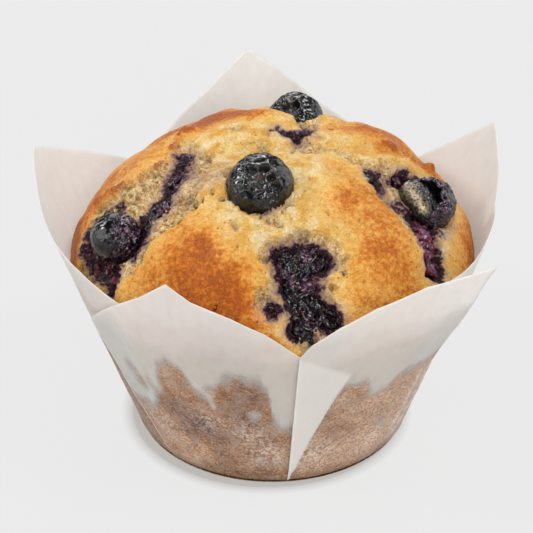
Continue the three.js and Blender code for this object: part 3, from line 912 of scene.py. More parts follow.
def crust_colours(tree, soft):
    """Crust from straw yellow to deep brown, paler and creamier where it stayed soft."""
    coarse = remap(tree, mottle(tree, 5.0), 0, 1, -0.08, 0.07)
    grain = remap(tree, mottle(tree, 0.9, 0.38, 0.62), 0, 1, -0.12, 0.12)
    brown = plus(tree, mask_of(tree, "brown"), plus(tree, coarse, grain))
    crust = ramp(tree, brown, CRUST_STOPS)
    pale = ramp(tree, mottle(tree, 3.4, 0.38, 0.62, 6.0), SOFT_STOPS)
    pale_share = times(tree, soft, remap(tree, brown, 0.3, 0.62, 0.9, 0.0))
    # Dark grain: flour grain, and also painted shade in the crevices of the crust's fine bumps.
    dark_grain_and_crevice_shade = times(tree, mottle(tree, 0.34, 0.46, 0.64, 2.0), remap(tree, soft, 0, 1, 0.2, 0.1))
    # Light grain: sugar and flour, and also painted glints on the crust's fine bumps.
    light_grain_and_glint = times(tree, speckle(tree, 0.6, 0.14, 0.14), mottle(tree, 2.6))
    light_grain_and_glint = times(tree, light_grain_and_glint, remap(tree, brown, 0.45, 0.85, 0.45, 0.2))
    cream = times(tree, mottle(tree, 0.6, 0.52, 0.62, 3.0), mottle(tree, 3.4, 0.44, 0.6), soft, 0.6)
    speck = times(tree, speckle(tree, 0.75, 0.16, 0.1), mottle(tree, 5.0, 0.46, 0.58), soft, 0.6)
    return laid_over(tree, crust, [
        (pale_share, pale),
        (dark_grain_and_crevice_shade, (190, 118, 44)),
        (light_grain_and_glint, (246, 204, 136)),
        (cream, (248, 224, 172)),
        (speck, (134, 92, 54)),
    ])


print("crust from", CRUST_STOPS[0][1], "to", CRUST_STOPS[-1][1], "in", len(CRUST_STOPS), "colours")

# %% [markdown]
# Painted shade in pores and hollows goes over crust and crumb alike. Juice runs from a faint grey
# violet to almost black as it gets thicker, and shines more. The crumb gets more relief than the crust.


# %% Material of the cake
def cake_material():
    material, tree, shader = new_material("baked cake")
    soft, tear = mask_of(tree, "soft"), mask_of(tree, "tear")
    # Painted shade in the hollows of the crumb and in the pockets.
    hollow_shade = times(tree, mask_of(tree, "hollow_shade"), mottle(tree, 0.9, 0.36))
    # Painted shade: small dark spots stand for the shade inside pores.
    pore_shade = times(tree, speckle(tree, 2.0, 0.10, 0.08), mottle(tree, 6, 0.46), 0.7)
    surface = laid_over(tree, crust_colours(tree, soft), [
        (tear, ramp(tree, mottle(tree, 0.8, 0.36, 0.64, 5.0), CRUMB_STOPS)),
        (hollow_shade, (138, 98, 54)),
        (pore_shade, (112, 70, 40)),
    ])
    surface = shade_colour(tree, remap(tree, mottle(tree, 0.4, 0.36, 0.62, 1.5), 0, 1, 0.89, 1.09), surface)
    uneven = remap(tree, mottle(tree, 0.8, 0.35, 0.65, 5.0), 0, 1, 0.4, 1.5)
    stain = times(tree, mask_of(tree, "stain"), uneven)
    surface = blend_colour(tree, remap(tree, stain, 0.06, 0.6), surface, ramp(tree, stain, JUICE_STOPS))
    dry = remap(tree, mottle(tree, 0.6, 0.35, 0.65, 2.0), 0, 1, 0.3, 0.7)
    wet = times(tree, remap(tree, stain, 0.5, 1.0, 1.0, 0.4), dry)
    set_shader(
        tree, shader, Base_Color=surface, Roughness=wet, Specular_IOR_Level=0.3,
        Subsurface_Weight=0.12, Subsurface_Radius=(1.0, 0.45, 0.2), Subsurface_Scale=1.2 * MM,
    )
    grainy = plus(tree, mottle(tree, 0.5, 0.25, 0.75, 2.0), mottle(tree, 1.4, 0.3, 0.7))
    crumbly = larger(tree, tear, times(tree, soft, 0.5))
    relief(tree, shader, times(tree, grainy, remap(tree, crumbly, 0, 1, 0.85, 1.3)), 0.4)
    return material


cake = build_cake(cake_material())
settle(cake, "crust", "muffin")

# %% [markdown]
# ## The paper case
# A tulip case is one square of baking paper pushed into a tin, so its wall falls into five broad
# panels, and where two meet one lies over the other. Each panel here is a sheet of its own between
# the foot and its free edge. It is a grid of points, bowed and buckled a little, and it runs on
# under its neighbour, so that the edges we see are real edges with paper behind them.

# %% The panels
# Each key: bearing at the foot, bearing at the free edge, height, radius, lift, bow.
# Lift holds a top layer clear of the one below it; bow bends the panel's side edge sideways.
# A key that stops early has 0 for the rest.
PANELS = {
    "front right": [
        (-84, -83.4, 41.4, 43.8, 0.8), (-80, -80.4, 45.1, 45.2, 0.6), (-73, -74, 49.2, 46.9, 0.25),
        (-64, -66, 53, 48.8), (-52, -56, 57.3, 52.4, 0.3, 2), (-44, -49, 58.2, 54.8, 0.55, 5),
        (-34, -42, 59, 57.5, 0.8, 7),
    ],
    "right": [
        (-46, -50, 49.5, 45.4, -0.1), (-28, -35, 50.6, 46.6), (-20, -20, 50.2, 46.2),
        (0, 0, 51.5, 46.9), (12, 12, 56, 49.3), (21, 21, 60.5, 51.3),
        (32, 32.5, 52.2, 47.6), (44, 44.5, 44.5, 44.7), (53, 53, 41.4, 43.6, -0.05),
        (63, 66, 35, 41.3, -0.1),
    ],
    "back": [
        (53, 53, 41.4, 43.8, 0.8), (62, 62, 45.3, 45.2, 0.4), (76, 76.5, 50.9, 47.5),
        (86, 86, 55.8, 50.2), (96, 96, 61, 54), (107, 107, 54.5, 49.2),
        (122, 122, 46.5, 45.6, 0.4), (132, 132, 42.3, 44.1, 0.8),
    ],
    "left": [
        (122, 119, 35, 41.4, -0.1), (132, 132, 42.3, 43.9, -0.05), (138, 138, 45.6, 45.1),
        (152, 152, 51.4, 47.8), (172, 172, 60.5, 51), (180, 180, 56.5, 49.4),
        (188, 188, 52.1, 48.2), (200, 200, 50.2, 47.2), (216, 214, 49.8, 46.5),
        (230, 230, 47.2, 45.4, -0.1),
    ],
    "front left": [
        (228, 207.5, 34.7, 41.4, 0.8, -0.5), (230, 219, 42, 44.2, 0.75, -0.4),
        (232, 230.5, 49.2, 46.9, 0.6, -0.2), (238, 238, 53.6, 48.4, 0.3),
        (247, 246.5, 60, 51.3), (251, 251, 55.4, 48.8),
        (260, 260, 52.2, 47.6), (268, 268, 48.3, 46.3), (276, 276.6, 41.4, 43.8),
        (277.5, 291, 34, 41.0, -0.15),
    ],
}
PAPER_ROWS = 76
PAPER_STEP = 0.72
PAPER_THICKNESS = 0.14
FLARE_START = 0.42
FLARE_POWER = 1.2
PAPER_INSET = 0.25
RIM_RADIUS = 46
SEAM_BEARING = -84
print(len(PANELS), "panels:", ", ".join(PANELS))

# %% [markdown]
# Fat from the cake makes the paper clear wherever the two touch, so the brown cake shows through
# in a band with a ragged top. Above it, and where air or a second layer is behind the paper, it
# stays white. A list of bearings and heights draws the top of that band; soft spots and thin
# creases take it away again.

# %% Where the cake shows through
CONTACT_TOP = [
    (-180, 25), (-163, 24), (-150, 17.5), (-136, 16.5), (-131, 18), (-129.5, 20.5), (-126.5, 25.5),
    (-124, 32), (-120.5, 33.8), (-115.5, 32.6), (-113.8, 27.5), (-111, 26),
    (-107.5, 28), (-105, 32), (-99, 33.4), (-93.5, 32.8), (-91, 28), (-90.2, 21), (-87, 17), (-82, 17),
    (-69, 29.9), (-62, 28.5), (-58.6, 23.2), (-53, 24), (-50, 27), (-37, 27.2), (-20, 30), (-6, 26), (14, 31),
    (33, 27), (52, 29), (75, 33), (92, 27), (118, 31), (140, 28), (160, 32), (180, 25),
]
SOAKED = [
    (-180, 0.5), (-150, 0.6), (-125, 0.0), (-116, 0.3), (-95, 0.45), (-72, 0.08), (-45, -0.25), (20, 0.4),
    (180, 0.5),
]
SOAKED_SPOTS = [
    (-124, 22, 4, 0.3), (-118, 18, 5, 0.5), (-99, 27, 5, 0.15), (-72, 20, 5, 0.2), (120, 20, 7, 0.4),
]
HAZE_SPOTS = [
    (-111, 19, 3, 0.7), (-98, 17, 4, 0.7), (-92, 10, 4, 0.8), (-74, 10, 4, 0.9), (-51, 9, 3, 0.8),
    (-130, 14, 4, 0.5), (20, 15, 6, 0.8), (64, 22, 6, 0.6), (92, 9, 6, 0.8), (160, 14, 7, 0.8),
]
STUCK_SPOTS = [(-132.4, 25.4, 2.0, 1.0), (-136.4, 28.5, 1.6, 0.5)]
DRY_SPOTS = [(-96, 22.9, 1.5), (-48, 13, 0.9), (30, 17, 1.5)]
CREASES = [
    [(-134.2, 37), (-132.8, 31), (-130.7, 24), (-132.5, 19)],
    [(-129.7, 33), (-127, 30), (-126.5, 25)],
    [(-117, 38), (-115.1, 33.7), (-113, 30), (-109.4, 27.5), (-108.4, 24)],
    [(-37, 25), (-38.5, 15), (-41, 7)],
    [(-32, 25), (-34, 14), (-38, 6)],
    [(8, 44), (3, 33), (5, 24)],
    [(170, 45), (175, 34), (172, 23)],
    [(82, 46), (84, 36), (80, 26)],
]
TRIANGLE_SIDE = 16.0
TRIANGLE_TOP = (41.4, 33.7)
LEFT_CONTACT = 25
print("marks on the paper:", len(CREASES), "creases,", len(HAZE_SPOTS), "hazy spots")

# %% [markdown]
# The wall is nearly a cone, so a place on it is a bearing and a height, and a distance on it is
# measured as if it were unrolled. The pleat of the front seam folds two more layers behind the
# top one, in the shape of a triangle.


# %% Distances on the wall
def wall_place(points):
    """Bearing in degrees and height of points on the wall, and millimetres round it for a degree."""
    bearing = np.degrees(np.arctan2(points[:, 1], points[:, 0]))
    return bearing, points[:, 2], wall_radius(points[:, 2]) * math.pi / 180


def crease_distance(points, crease):
    """Distance in millimetres along the wall from a line of (bearing, height) marks."""
    bearing, height, per_degree = wall_place(points)
    least = np.full(len(points), 99.0)
    for (b0, z0), (b1, z1) in zip(crease, crease[1:]):
        across = ((bearing - b0 + 180) % 360 - 180) * per_degree
        run, climb = (b1 - b0) * per_degree, z1 - z0
        share = np.clip((across * run + (height - z0) * climb) / (run**2 + climb**2), 0, 1)
        least = np.minimum(least, np.hypot(across - share * run, height - z0 - share * climb))
    return least


def tucked_triangle(points):
    """1 on the front seam's top layer where two more layers of the pleat lie behind it."""
    bearing, height, _ = wall_place(points)
    low, high = TRIANGLE_TOP[1], TRIANGLE_TOP[0]
    side = np.clip(height / low, 0.02, None)
    across = (bearing - SEAM_BEARING) / TRIANGLE_SIDE
    inside = smooth_step(1.02, 0.98, across / side) * smooth_step(-0.05, 0.0, across)
    return inside * smooth_step(0.4, -0.4, height - (high - (high - low) * across))


def spot_distance(points, bearing, height):
    return crease_distance(points, [(bearing, height), (bearing, height + 0.1)])


def wall_spots(points, marks):
    """Sum of soft spots on the wall, each (bearing, height, reach, amount)."""
    total = np.zeros(len(points))
    for bearing, height, reach, amount in marks:
        total += amount * bump(spot_distance(points, bearing, height), reach)
    return total


print("seam from corner to corner:", TRIANGLE_SIDE, "degrees wide,", TRIANGLE_TOP[0], "mm high")

# %% [markdown]
# Six masks come from those distances, and a seventh will mark the cut edges. The paper's material
# reads them.


# %% Masks of the paper
def contact_mask(points, panel):
    """1 where the cake touches the paper, under a ragged line, apart from dry spots and creases."""
    bearing, height, _ = wall_place(points)
    top = np.interp(bearing, *zip(*CONTACT_TOP))
    if panel == "left":
        top = np.maximum(top, LEFT_CONTACT)
    ragged = 1.2 * rough_noise(points, 4.0, 4, 211) + 0.9 * rough_noise(points * [1, 1, 0.4], 1.6, 3, 215)
    contact = smooth_step(-4.0, 2.6, top - height + ragged)
    contact = np.maximum(contact, 0.75 * np.clip(wall_spots(points, STUCK_SPOTS), 0, 1))
    for b, z, reach in DRY_SPOTS:
        away = spot_distance(points, b, z) + 0.4 * ragged
        contact *= 1 - 0.7 * smooth_step(1.6, 0.4, away / reach)
    return contact


def paper_masks(points, panel):
    bearing, height, _ = wall_place(points)
    contact = contact_mask(points, panel)
    crease = np.max([bump(crease_distance(points, line), 0.5) for line in CREASES], axis=0)
    contact *= 1 - 0.6 * crease * smooth_step(-0.6, 0.2, rough_noise(points, 2.5, 3, 219))
    double = tucked_triangle(points) if panel == "front right" else np.zeros(len(points))
    soaked = np.interp(bearing, *zip(*SOAKED)) + 0.2 * noise(points, 12, 221)
    foot = smooth_step(5, 0.5, height + 1.2 * noise(points, 5, 225))
    if panel == "left":
        # Painted shade: the under-sheet left of the fold is darkened like the toasted foot.
        under_fold_shade = smooth_step(-168, -160, bearing) * smooth_step(28, 24, height) * (bearing < -100)
        foot = np.maximum(foot, under_fold_shade)
    return {
        "contact": contact * (1 - double),
        "double": double,
        "crease": crease,
        "soaked": soaked + wall_spots(points, SOAKED_SPOTS),
        "foot": foot,
        "haze": np.clip(wall_spots(points, HAZE_SPOTS), 0, 1),
    }


print("paper masks:", ", ".join(paper_masks(np.array([[30.0, 0.0, 10.0]]), "right")))

# %% [markdown]
# A panel's column is a straight pull from its foot point to its edge point, except that the wall
# stays on the tin's cone low down and only flares above it. Buckles are soft ripples that run
# mostly up and down, as paper can bend one way but hardly two ways at once.


# %% Points of a panel
FOOT_TUCK = 0.7
FOOT_CURVE = 1.6


def panel_columns(keys):
    """Columns about PAPER_STEP apart at the free edge, by straight lines between the keys."""
    table = np.array([(*key, 0, 0)[:6] for key in keys], dtype=float)
    widths = np.hypot(np.diff(table[:, 2]), np.radians(np.diff(table[:, 1])) * RIM_RADIUS)
    columns = [table[:1]]
    for start, end, width in zip(table, table[1:], widths):
        shares = np.linspace(0, 1, max(2, math.ceil(width / PAPER_STEP)) + 1)[1:, None]
        columns.append(start + (end - start) * shares)
    return np.vstack(columns)


def panel_points(keys):
    columns = panel_columns(keys)
    foot, bearing, height, radius, lift, bow = columns.T
    rows = []
    for share in np.linspace(0.004, 1, PAPER_ROWS):
        level = share * height
        flare = np.clip((share - FLARE_START) / (1 - FLARE_START), 0, 1) ** FLARE_POWER
        out = wall_radius(level) + (radius - wall_radius(height)) * flare - PAPER_INSET
        out = out + lift * smooth_step(0, 0.15, share) - FOOT_TUCK * smooth_step(FOOT_CURVE, 0, level)
        turn = np.radians(foot + (bearing - foot) * share + bow * math.sin(math.pi * share) ** 2)
        rows.append(around(out, turn, level))
    return np.vstack(rows), len(columns)


def buckle(points):
    """How far the sheet stands in or out: shallow upright ripples, and dents between crumbs."""
    upright = points * [1, 1, 0.22]
    free = smooth_step(28, 44, points[:, 2])
    low = 0.16 * rough_noise(upright, 7, 2, 221) + 0.07 * rough_noise(points, 2.2, 2, 231)
    return low * (1 - 0.6 * free) + 0.35 * free * noise(upright, 19, 241)


print("columns in each panel:", [len(panel_columns(keys)) for keys in PANELS.values()])

# %% [markdown]
# The five panels and the round floor become one object, though their sheets only overlap, as in
# the folded case. A Solidify modifier gives all of them the thickness of paper, inwards.


# %% Build the paper
CREASE_HEIGHT = 0.22
SECOND_LAYER = 0.14
FLOOR_RINGS = [(28.95, 0.3), (28.6, 0.16), (27.5, 0.14), (20, 0.2), (10, 0.2), (1, 0.2)]
FLOOR_MASKS = {"contact": 1, "double": 0, "crease": 0, "soaked": 0.5, "foot": 1, "haze": 0, "edge": 0}


def build_paper(material):
    points, faces, masks = [], [], {}
    for panel, keys in PANELS.items():
        sheet, columns = panel_points(keys)
        # The edge mask marks the cut edges, where the material paints a highlight.
        edge = np.zeros((PAPER_ROWS, columns))
        edge[-1] = edge[:, 0] = 1
        edge[:, 1] = 0.6
        edge = edge.ravel()
        outward = sheet * [1, 1, 0] / np.linalg.norm(sheet[:, :2], axis=1, keepdims=True)
        found = {**paper_masks(sheet, panel), "edge": edge}
        swell = buckle(sheet) * smooth_step(0, 3, sheet[:, 2])
        swell = swell + CREASE_HEIGHT * found["crease"] + SECOND_LAYER * found["double"]
        first = sum(len(part) for part in points)
        faces += (np.array(grid_faces(PAPER_ROWS, columns, closed=False)) + first).tolist()
        points.append(sheet + swell[:, None] * outward)
        for name, values in found.items():
            masks.setdefault(name, []).append(values)
    paper_floor(points, faces, masks)
    masks = {name: np.concatenate(values) for name, values in masks.items()}
    piece = make_piece("paper_sheet", np.vstack(points), faces, masks, material)
    thick = piece.modifiers.new("paper thickness", "SOLIDIFY")
    thick.thickness = PAPER_THICKNESS * MM
    thick.offset = -1
    return piece


def paper_floor(points, faces, masks):
    """The round floor of the case, rings of points from its edge to its middle."""
    first = sum(len(part) for part in points)
    turn = np.radians(np.arange(0, 360, 3))
    disc = np.vstack([around(radius, turn, height) for radius, height in FLOOR_RINGS])
    points.append(disc)
    faces += (np.array(grid_faces(len(FLOOR_RINGS), len(turn))) + first).tolist()
    faces.append([first + len(disc) - len(turn) + corner for corner in range(len(turn))])
    for name, value in FLOOR_MASKS.items():
        masks[name].append(np.full(len(disc), float(value)))


print("the floor is a disc", 2 * FLOOR_RINGS[0][0], "mm across")

# %% [markdown]
# ## Baking paper
# Baking paper is white, a little waxy, and thin enough to glow when light falls on its far side.
# So the material mixes the Principled shader with a Translucent one. Clear, fatty places are
# brown and blotchy, with fine light flecks and white haze where the paper stands off a crumb. A
# second layer behind it looks whiter, creases stay white where they are dry, and creases and cut
# edges get a painted highlight.


# %% Colours of the paper
FAT_STOPS = [
    (0.0, (216, 174, 140)),
    (0.4, (166, 115, 77)),
    (0.75, (114, 75, 50)),
    (1.0, (80, 56, 50)),
]


def streaks(tree, size, squash):
    """A mask of fine upright streaks."""
    values = {0: add(tree, "ShaderNodeTexCoord").outputs["Object"], 1: (1, 1, squash)}
    upright = add(tree, "ShaderNodeVectorMath", values, operation="MULTIPLY").outputs[0]
    cloud = add(tree, "ShaderNodeTexNoise", {"Vector": upright, "Scale": 1 / (size * MM), "Detail": 5.0})
    return remap(tree, cloud.outputs[0], 0.48, 0.68)


def fat_colour(tree):
    """The soaked paper: brown cake seen through it, in grains and blotches, hazy in places."""
    uneven = remap(tree, mottle(tree, 4.5, 0.3, 0.7, 5.0), 0, 1, -0.3, 0.3)
    fat = ramp(tree, plus(tree, mask_of(tree, "soaked"), uneven), FAT_STOPS)
    return laid_over(tree, fat, [
        (times(tree, mottle(tree, 7.0, 0.48, 0.64), 0.35), (164, 104, 66)),
        # Darker brown at the foot, where the bottom toasted, and painted shade on the under-sheet left of the
        # fold.
        (times(tree, mask_of(tree, "foot"), 0.9), (128, 84, 36)),
        (times(tree, mottle(tree, 0.5, 0.46, 0.58, 3.0), 0.68), (86, 56, 40)),
        (times(tree, mottle(tree, 0.6, 0.54, 0.64, 3.0), 0.5), (216, 186, 158)),
        (times(tree, mask_of(tree, "haze"), mottle(tree, 0.8, 0.47, 0.56, 5.0), 0.85), (232, 216, 202)),
    ])


def dry_colour(tree, contact):
    """The white paper, with painted grey shade where it leaves the cake, and warmer where fat soaks in."""
    white = blend_colour(tree, mottle(tree, 3.0, 0.3, 0.7, 6.0), (246, 245, 243), (242, 240, 237))
    return laid_over(tree, white, [
        (times(tree, streaks(tree, 1.6, 0.12), 0.2), (231, 226, 221)),
        # Painted shade: the paper is greyed in a band where it is near the cake but not touching it.
        (times(tree, remap(tree, contact, 0.02, 0.4), 0.6), (206, 197, 190)),
        (times(tree, remap(tree, contact, 0.5, 0.95), 0.7), (210, 180, 158)),
    ])


print("soaked paper from", FAT_STOPS[0][1], "to", FAT_STOPS[-1][1])

# %% [markdown]
# How clear the paper is follows the contact mask, with a border that is ragged and cloudy. Clear
# paper is smoother and lets hardly any light past the cake behind it, so it gets less of the
# Translucent shader than the free white petals.


# %% Material of the paper
def soaked_share(tree, contact):
    """How clear the fat has made the paper, with a ragged and cloudy border."""
    ragged = remap(tree, mottle(tree, 0.6, fine=3.0), 0, 1, -0.3, 0.3)
    cloudy = remap(tree, mottle(tree, 3.0, fine=6.0), 0, 1, -0.3, 0.3)
    soaked = remap(tree, plus(tree, contact, plus(tree, ragged, cloudy)), 0.3, 0.95)
    soaked = larger(tree, soaked, remap(tree, contact, 0.65, 1.0, 0.0, 0.4))
    return times(tree, soaked, remap(tree, contact, 0, 0.1))


def paper_material():
    material, tree, shader = new_material("baking paper")
    contact, double = mask_of(tree, "contact"), mask_of(tree, "double")
    soaked = soaked_share(tree, contact)
    # Creases stay dry and white; creases and cut edges also get a painted highlight.
    crease_white_and_edge_highlight = larger(tree, times(tree, mask_of(tree, "crease"), 0.5), times(tree, mask_of(tree, "edge"), 0.8))
    surface = laid_over(tree, dry_colour(tree, contact), [
        (soaked, fat_colour(tree)),
        (times(tree, double, 0.74), (246, 241, 233)),
        (crease_white_and_edge_highlight, (252, 250, 247)),
    ])
    shine = remap(tree, soaked, 0, 1, 0.55, 0.4)
    set_shader(tree, shader, Base_Color=surface, Roughness=shine, Specular_IOR_Level=0.35)
    relief(tree, shader, mottle(tree, 1.2, 0.3, 0.7), 0.05, 0.6)
    glow = add(tree, "ShaderNodeBsdfTranslucent", {"Color": surface})
    free = remap(tree, larger(tree, soaked, times(tree, double, 0.5)), 0, 1, 0.6, 0.06)
    both = add(tree, "ShaderNodeMixShader", {0: free, 1: shader.outputs[0], 2: glow.outputs[0]})
    tree.links.new(both.outputs[0], tree.nodes["Material Output"].inputs["Surface"])
    return material


paper = build_paper(paper_material())
settle(paper, "paper", "paper_case")

# %% [markdown]
# ## A ball of rings
# A blueberry is a slightly flat ball. We build it of rings of points, from its crown to its foot.
# Each point has its own direction from the middle, so all the relief of the skin can be written as
# one height for each direction. All the berries below are built of such rings.

# %% Ball of rings
BERRY_RINGS = 124
BERRY_SIDES = 190


def ball_directions():
    """Directions on a ball, with their angles from the axis and round it, ring after ring."""
    tilt = np.linspace(0.01, math.pi - 0.01, BERRY_RINGS)[:, None] + np.zeros(BERRY_SIDES)
    turn = np.linspace(0, 2 * math.pi, BERRY_SIDES, endpoint=False) + np.zeros((BERRY_RINGS, 1))
    ways = around(np.sin(tilt), turn, np.cos(tilt))
    return ways.reshape(-1, 3), tilt.ravel(), turn.ravel()


def ball_faces(rings):
    """Faces between the rings, and one face over the first ring and one under the last."""
    faces = grid_faces(rings, BERRY_SIDES)
    faces.append(list(range(BERRY_SIDES))[::-1])
    faces.append([(rings - 1) * BERRY_SIDES + corner for corner in range(BERRY_SIDES)])
    return [face[::-1] for face in faces]


def turned_to(axis):
    """A rotation that takes +Z to the direction of an axis."""
    return np.array(Vector((0, 0, 1)).rotation_difference(axis).to_matrix())


def aim(lift, bearing):
    """The direction `lift` degrees up and `bearing` degrees round."""
    up, side = math.radians(lift), math.radians(bearing)
    return Vector((math.cos(up) * math.cos(side), math.cos(up) * math.sin(side), math.sin(up)))


def berry_masks(count, **given):
    """The masks that the berries' material reads, zero where none is given."""
    return {name: given.get(name, np.zeros(count)) for name in ("flesh", "cup", "scar", "dry")}


print("points on a berry:", len(ball_directions()[0]))

# %% [markdown]
# ## Whole berries
# A blueberry's crown is a ring of five short flaps round a sunken, star-shaped cup, left over from
# the flower. Baking shrinks the flesh, so the skin is wrinkled. The flaps stand up most on the side
# that faces up, and open dark slots behind them.

# %% Crown and skin
CROWN_ANGLE = 0.43
CROWN_FLAPS = 5
CROWN_TURNS = ((135, 63), (100, 70), (20, 90))
FLAP_HEIGHT = 0.75
CUP_DEPTH = 0.75
SLOT_DEPTH = 1.5
SCAR_HEIGHT = 0.3


def crown_relief(tilt, turn, first, upper):
    """Height of the crown: flaps round a cup, with dark slots behind the flaps on its upper side."""
    wave = np.cos(CROWN_FLAPS * (turn - first))
    side = 0.5 + 0.5 * np.cos(turn - upper)
    strong = 0.3 + 0.7 * side
    bent = 0.05 * np.sin(3 * turn + 9 * tilt) + 0.03 * np.sin(7 * turn - 14 * tilt)
    tilt = tilt + bent * smooth_step(0.1, 0.3, tilt)
    edge = CROWN_ANGLE * (1 + 0.14 * wave * side + 0.08 * np.sin(2 * turn + 1))
    pointed = 0.35 + 0.65 * smooth_step(-0.6, 0.6, wave)
    flaps = FLAP_HEIGHT * bump(tilt - edge, 0.075) * pointed * strong
    cup = -CUP_DEPTH * smooth_step(edge, edge * 0.8, tilt) * strong
    slots = -SLOT_DEPTH * bump(tilt - edge * 0.8, 0.06)
    slots = slots * smooth_step(-0.75, -0.1, wave) * smooth_step(0.45, 0.95, side)
    scar = SCAR_HEIGHT * bump(tilt, 0.05) - 0.2 * bump(tilt - 0.1, 0.03)
    return flaps + cup + slots + scar


def whole_berry(name, at, wide, tall, lift, bearing, material, seed=0):
    first, upper = CROWN_TURNS[seed]
    ways, tilt, turn = ball_directions()
    local = ways * [wide, wide, tall]
    grow = crown_relief(tilt, turn, math.radians(first), math.radians(upper))
    grow += 0.2 * rough_noise(local, 3.6, 3, 301 + seed) + 0.12 * ridges(local, 2.0, 2, 311 + seed)
    grow += 0.2 * smooth_step(-0.1, 0.3, noise(local, 3.4, 321 + seed)) * ridges(local, 1.2, 2, 331 + seed)
    local = local + grow[:, None] * ways
    points = local @ turned_to(aim(lift, bearing)).T + np.array(at)
    cup = smooth_step(CROWN_ANGLE * 1.1, CROWN_ANGLE * 0.8, tilt)
    masks = berry_masks(len(points), cup=cup, scar=bump(tilt, 0.07))
    return make_piece(name + "_skin", points, ball_faces(BERRY_RINGS), masks, material)


# %% [markdown]
# ## Skin and flesh of the berries
# Baking has taken most of the skin's wax bloom, so it is wet and nearly black, with a few pale
# specks that are wax and also painted glints. Broad, soft bumps and low roughness bend its mirror
# images as wrinkles do. Torn flesh is purple, from nearly black to mauve. One material does both,
# told by the *flesh* mask, so a burst berry has no seam.


# %% Material of the berries
def skin_colours(tree):
    """Near black with a faint bloom; a dull cup, a brown scar, specks of wax that are also painted glints,
    stuck crumb and a pale edge line.
    """
    bloom = times(tree, mottle(tree, 4.0, 0.42, 0.62, 3.0), mottle(tree, 0.8, 0.25, 0.75, 5.0))
    # Pale wax specks in clusters, which also serve as painted glints.
    wax_and_glint = times(tree, mottle(tree, 0.5, 0.46, 0.62, 2.0), mottle(tree, 2.8, 0.42, 0.6, 3.0), 0.14)
    dry = times(tree, mask_of(tree, "dry"), mottle(tree, 0.6, 0.36, 0.56, 4.0))
    return laid_over(tree, (3, 3, 4), [
        (bloom, (20, 20, 22)),
        (times(tree, mask_of(tree, "cup"), 0.4), (72, 68, 66)),
        (times(tree, mask_of(tree, "scar"), 0.8), (104, 62, 44)),
        (wax_and_glint, (140, 137, 137)),
        (dry, (212, 190, 148)),
    ])


def bare_colours(tree):
    return ramp(tree, mottle(tree, 0.9, 0.36, 0.64, 5.0), [
        (0.0, (8, 3, 7)),
        (0.4, (22, 9, 20)),
        (0.7, (54, 30, 50)),
        (1.0, (116, 86, 108)),
    ])


def berry_material():
    material, tree, shader = new_material("blueberry skin")
    surface = blend_colour(tree, mask_of(tree, "flesh"), skin_colours(tree), bare_colours(tree))
    shine = remap(tree, mottle(tree, 2.4, 0.4, 0.62, 1.0), 0, 1, 0.07, 0.2)
    set_shader(tree, shader, Base_Color=surface, Roughness=shine, Specular_IOR_Level=0.5)
    creased = times(tree, mottle(tree, 0.9, 0.3, 0.7, 0.0), mottle(tree, 3.0, 0.36, 0.6, 0.0), 0.5)
    relief(tree, shader, plus(tree, mottle(tree, 1.8, 0.2, 0.8, 0.0), creased), 0.16)
    return material


BERRY = berry_material()
for number, name in enumerate(("berry_front", "berry_back", "berry_rear")):
    settle(whole_berry(name, **BERRIES[name], material=BERRY, seed=number), "berry_skin", name)

# %% [markdown]
# ## The burst berry on the left
# Half of its skin still fits like a cap; the other half has gone, and the flesh below is lumpy and
# has shrunk away. It is the same ball of rings, lowered by the skin's thickness past a ragged
# edge, so the cap ends in a real step.


# %% Burst berry
CAP_LEVEL = 1.5
SKIN_STEP = 0.45
SHRUNK = 1.0
STUCK_CRUMB = np.array([1.9, 1.6, 4.6])
PALE_LINE_ACROSS = np.array([0.25, -0.8, 0.5])


def burst_relief(local, edge, flesh):
    """Lumpy flesh that lies lower than the skin, under the skin's raised edge."""
    grow = -SKIN_STEP * flesh + 0.12 * bump(edge, 0.35) * (1 - flesh)
    grow += flesh * (0.35 * rough_noise(local, 2.2, 3, 411) - 0.3 * ridges(local, 1.5, 2, 421))
    grow += (1 - flesh) * (0.1 * rough_noise(local, 3, 2, 431) - 0.06 * ridges(local, 1.3, 2, 441))
    return grow - SHRUNK * flesh * smooth_step(-1.5, -5.5, local[:, 2])


def burst_berry(name, at, wide, tall, lift, bearing, material):
    ways, _, _ = ball_directions()
    local = ways * [wide, wide, tall]
    edge = local[:, 2] - CAP_LEVEL + 1.5 * rough_noise(local, 4.5, 4, 401)
    flesh = smooth_step(0.12, -0.12, edge)
    grow = burst_relief(local, edge, flesh)
    points = (local + grow[:, None] * ways) @ turned_to(aim(lift, bearing)).T + np.array(at)
    # A thin pale line along the left side of the cap.
    line = bump((points - at) @ PALE_LINE_ACROSS - 1.5, 0.14) * smooth_step(at[0] - 2, at[0] - 4, points[:, 0])
    dry = 0.6 * line * smooth_step(-0.3, 0.3, noise(local, 1.4, 451))
    dry += 0.8 * bump(np.linalg.norm(points - at - STUCK_CRUMB, axis=1), 1.3)
    masks = berry_masks(len(points), flesh=flesh, dry=dry)
    return make_piece(name + "_skin", points, ball_faces(BERRY_RINGS), masks, material)


settle(burst_berry("berry_left", **BERRIES["berry_left"], material=BERRY), "berry_skin", "berry_left")

# %% [markdown]
# ## The torn berry on the right
# Here the skin has split open like a cup and the bared flesh stands in it as a smooth oval. The
# cup is a surface of rings too: out along the outside to a ragged rim, and back along the inside.

# %% Cup of torn skin
CUP_RINGS = 70
CUP_OPENING = Vector((-0.9, -1.5, 2.3))
CUP_RADII = (5.8, 6.2, 5.6)
CUP_HOLLOW = 4.1
CUP_SHIFT = 2.4


def cup_rows(radius, middle, end, notch, shares):
    """Rows of (distance from the axis, height) on a ball, up to an end angle that the notch cuts."""
    rows = []
    for share in shares:
        tilt = share * end * (1 - (1 - notch) * share)
        rows.append(np.stack([radius * np.sin(tilt), middle - radius * np.cos(tilt)], 1))
    return rows


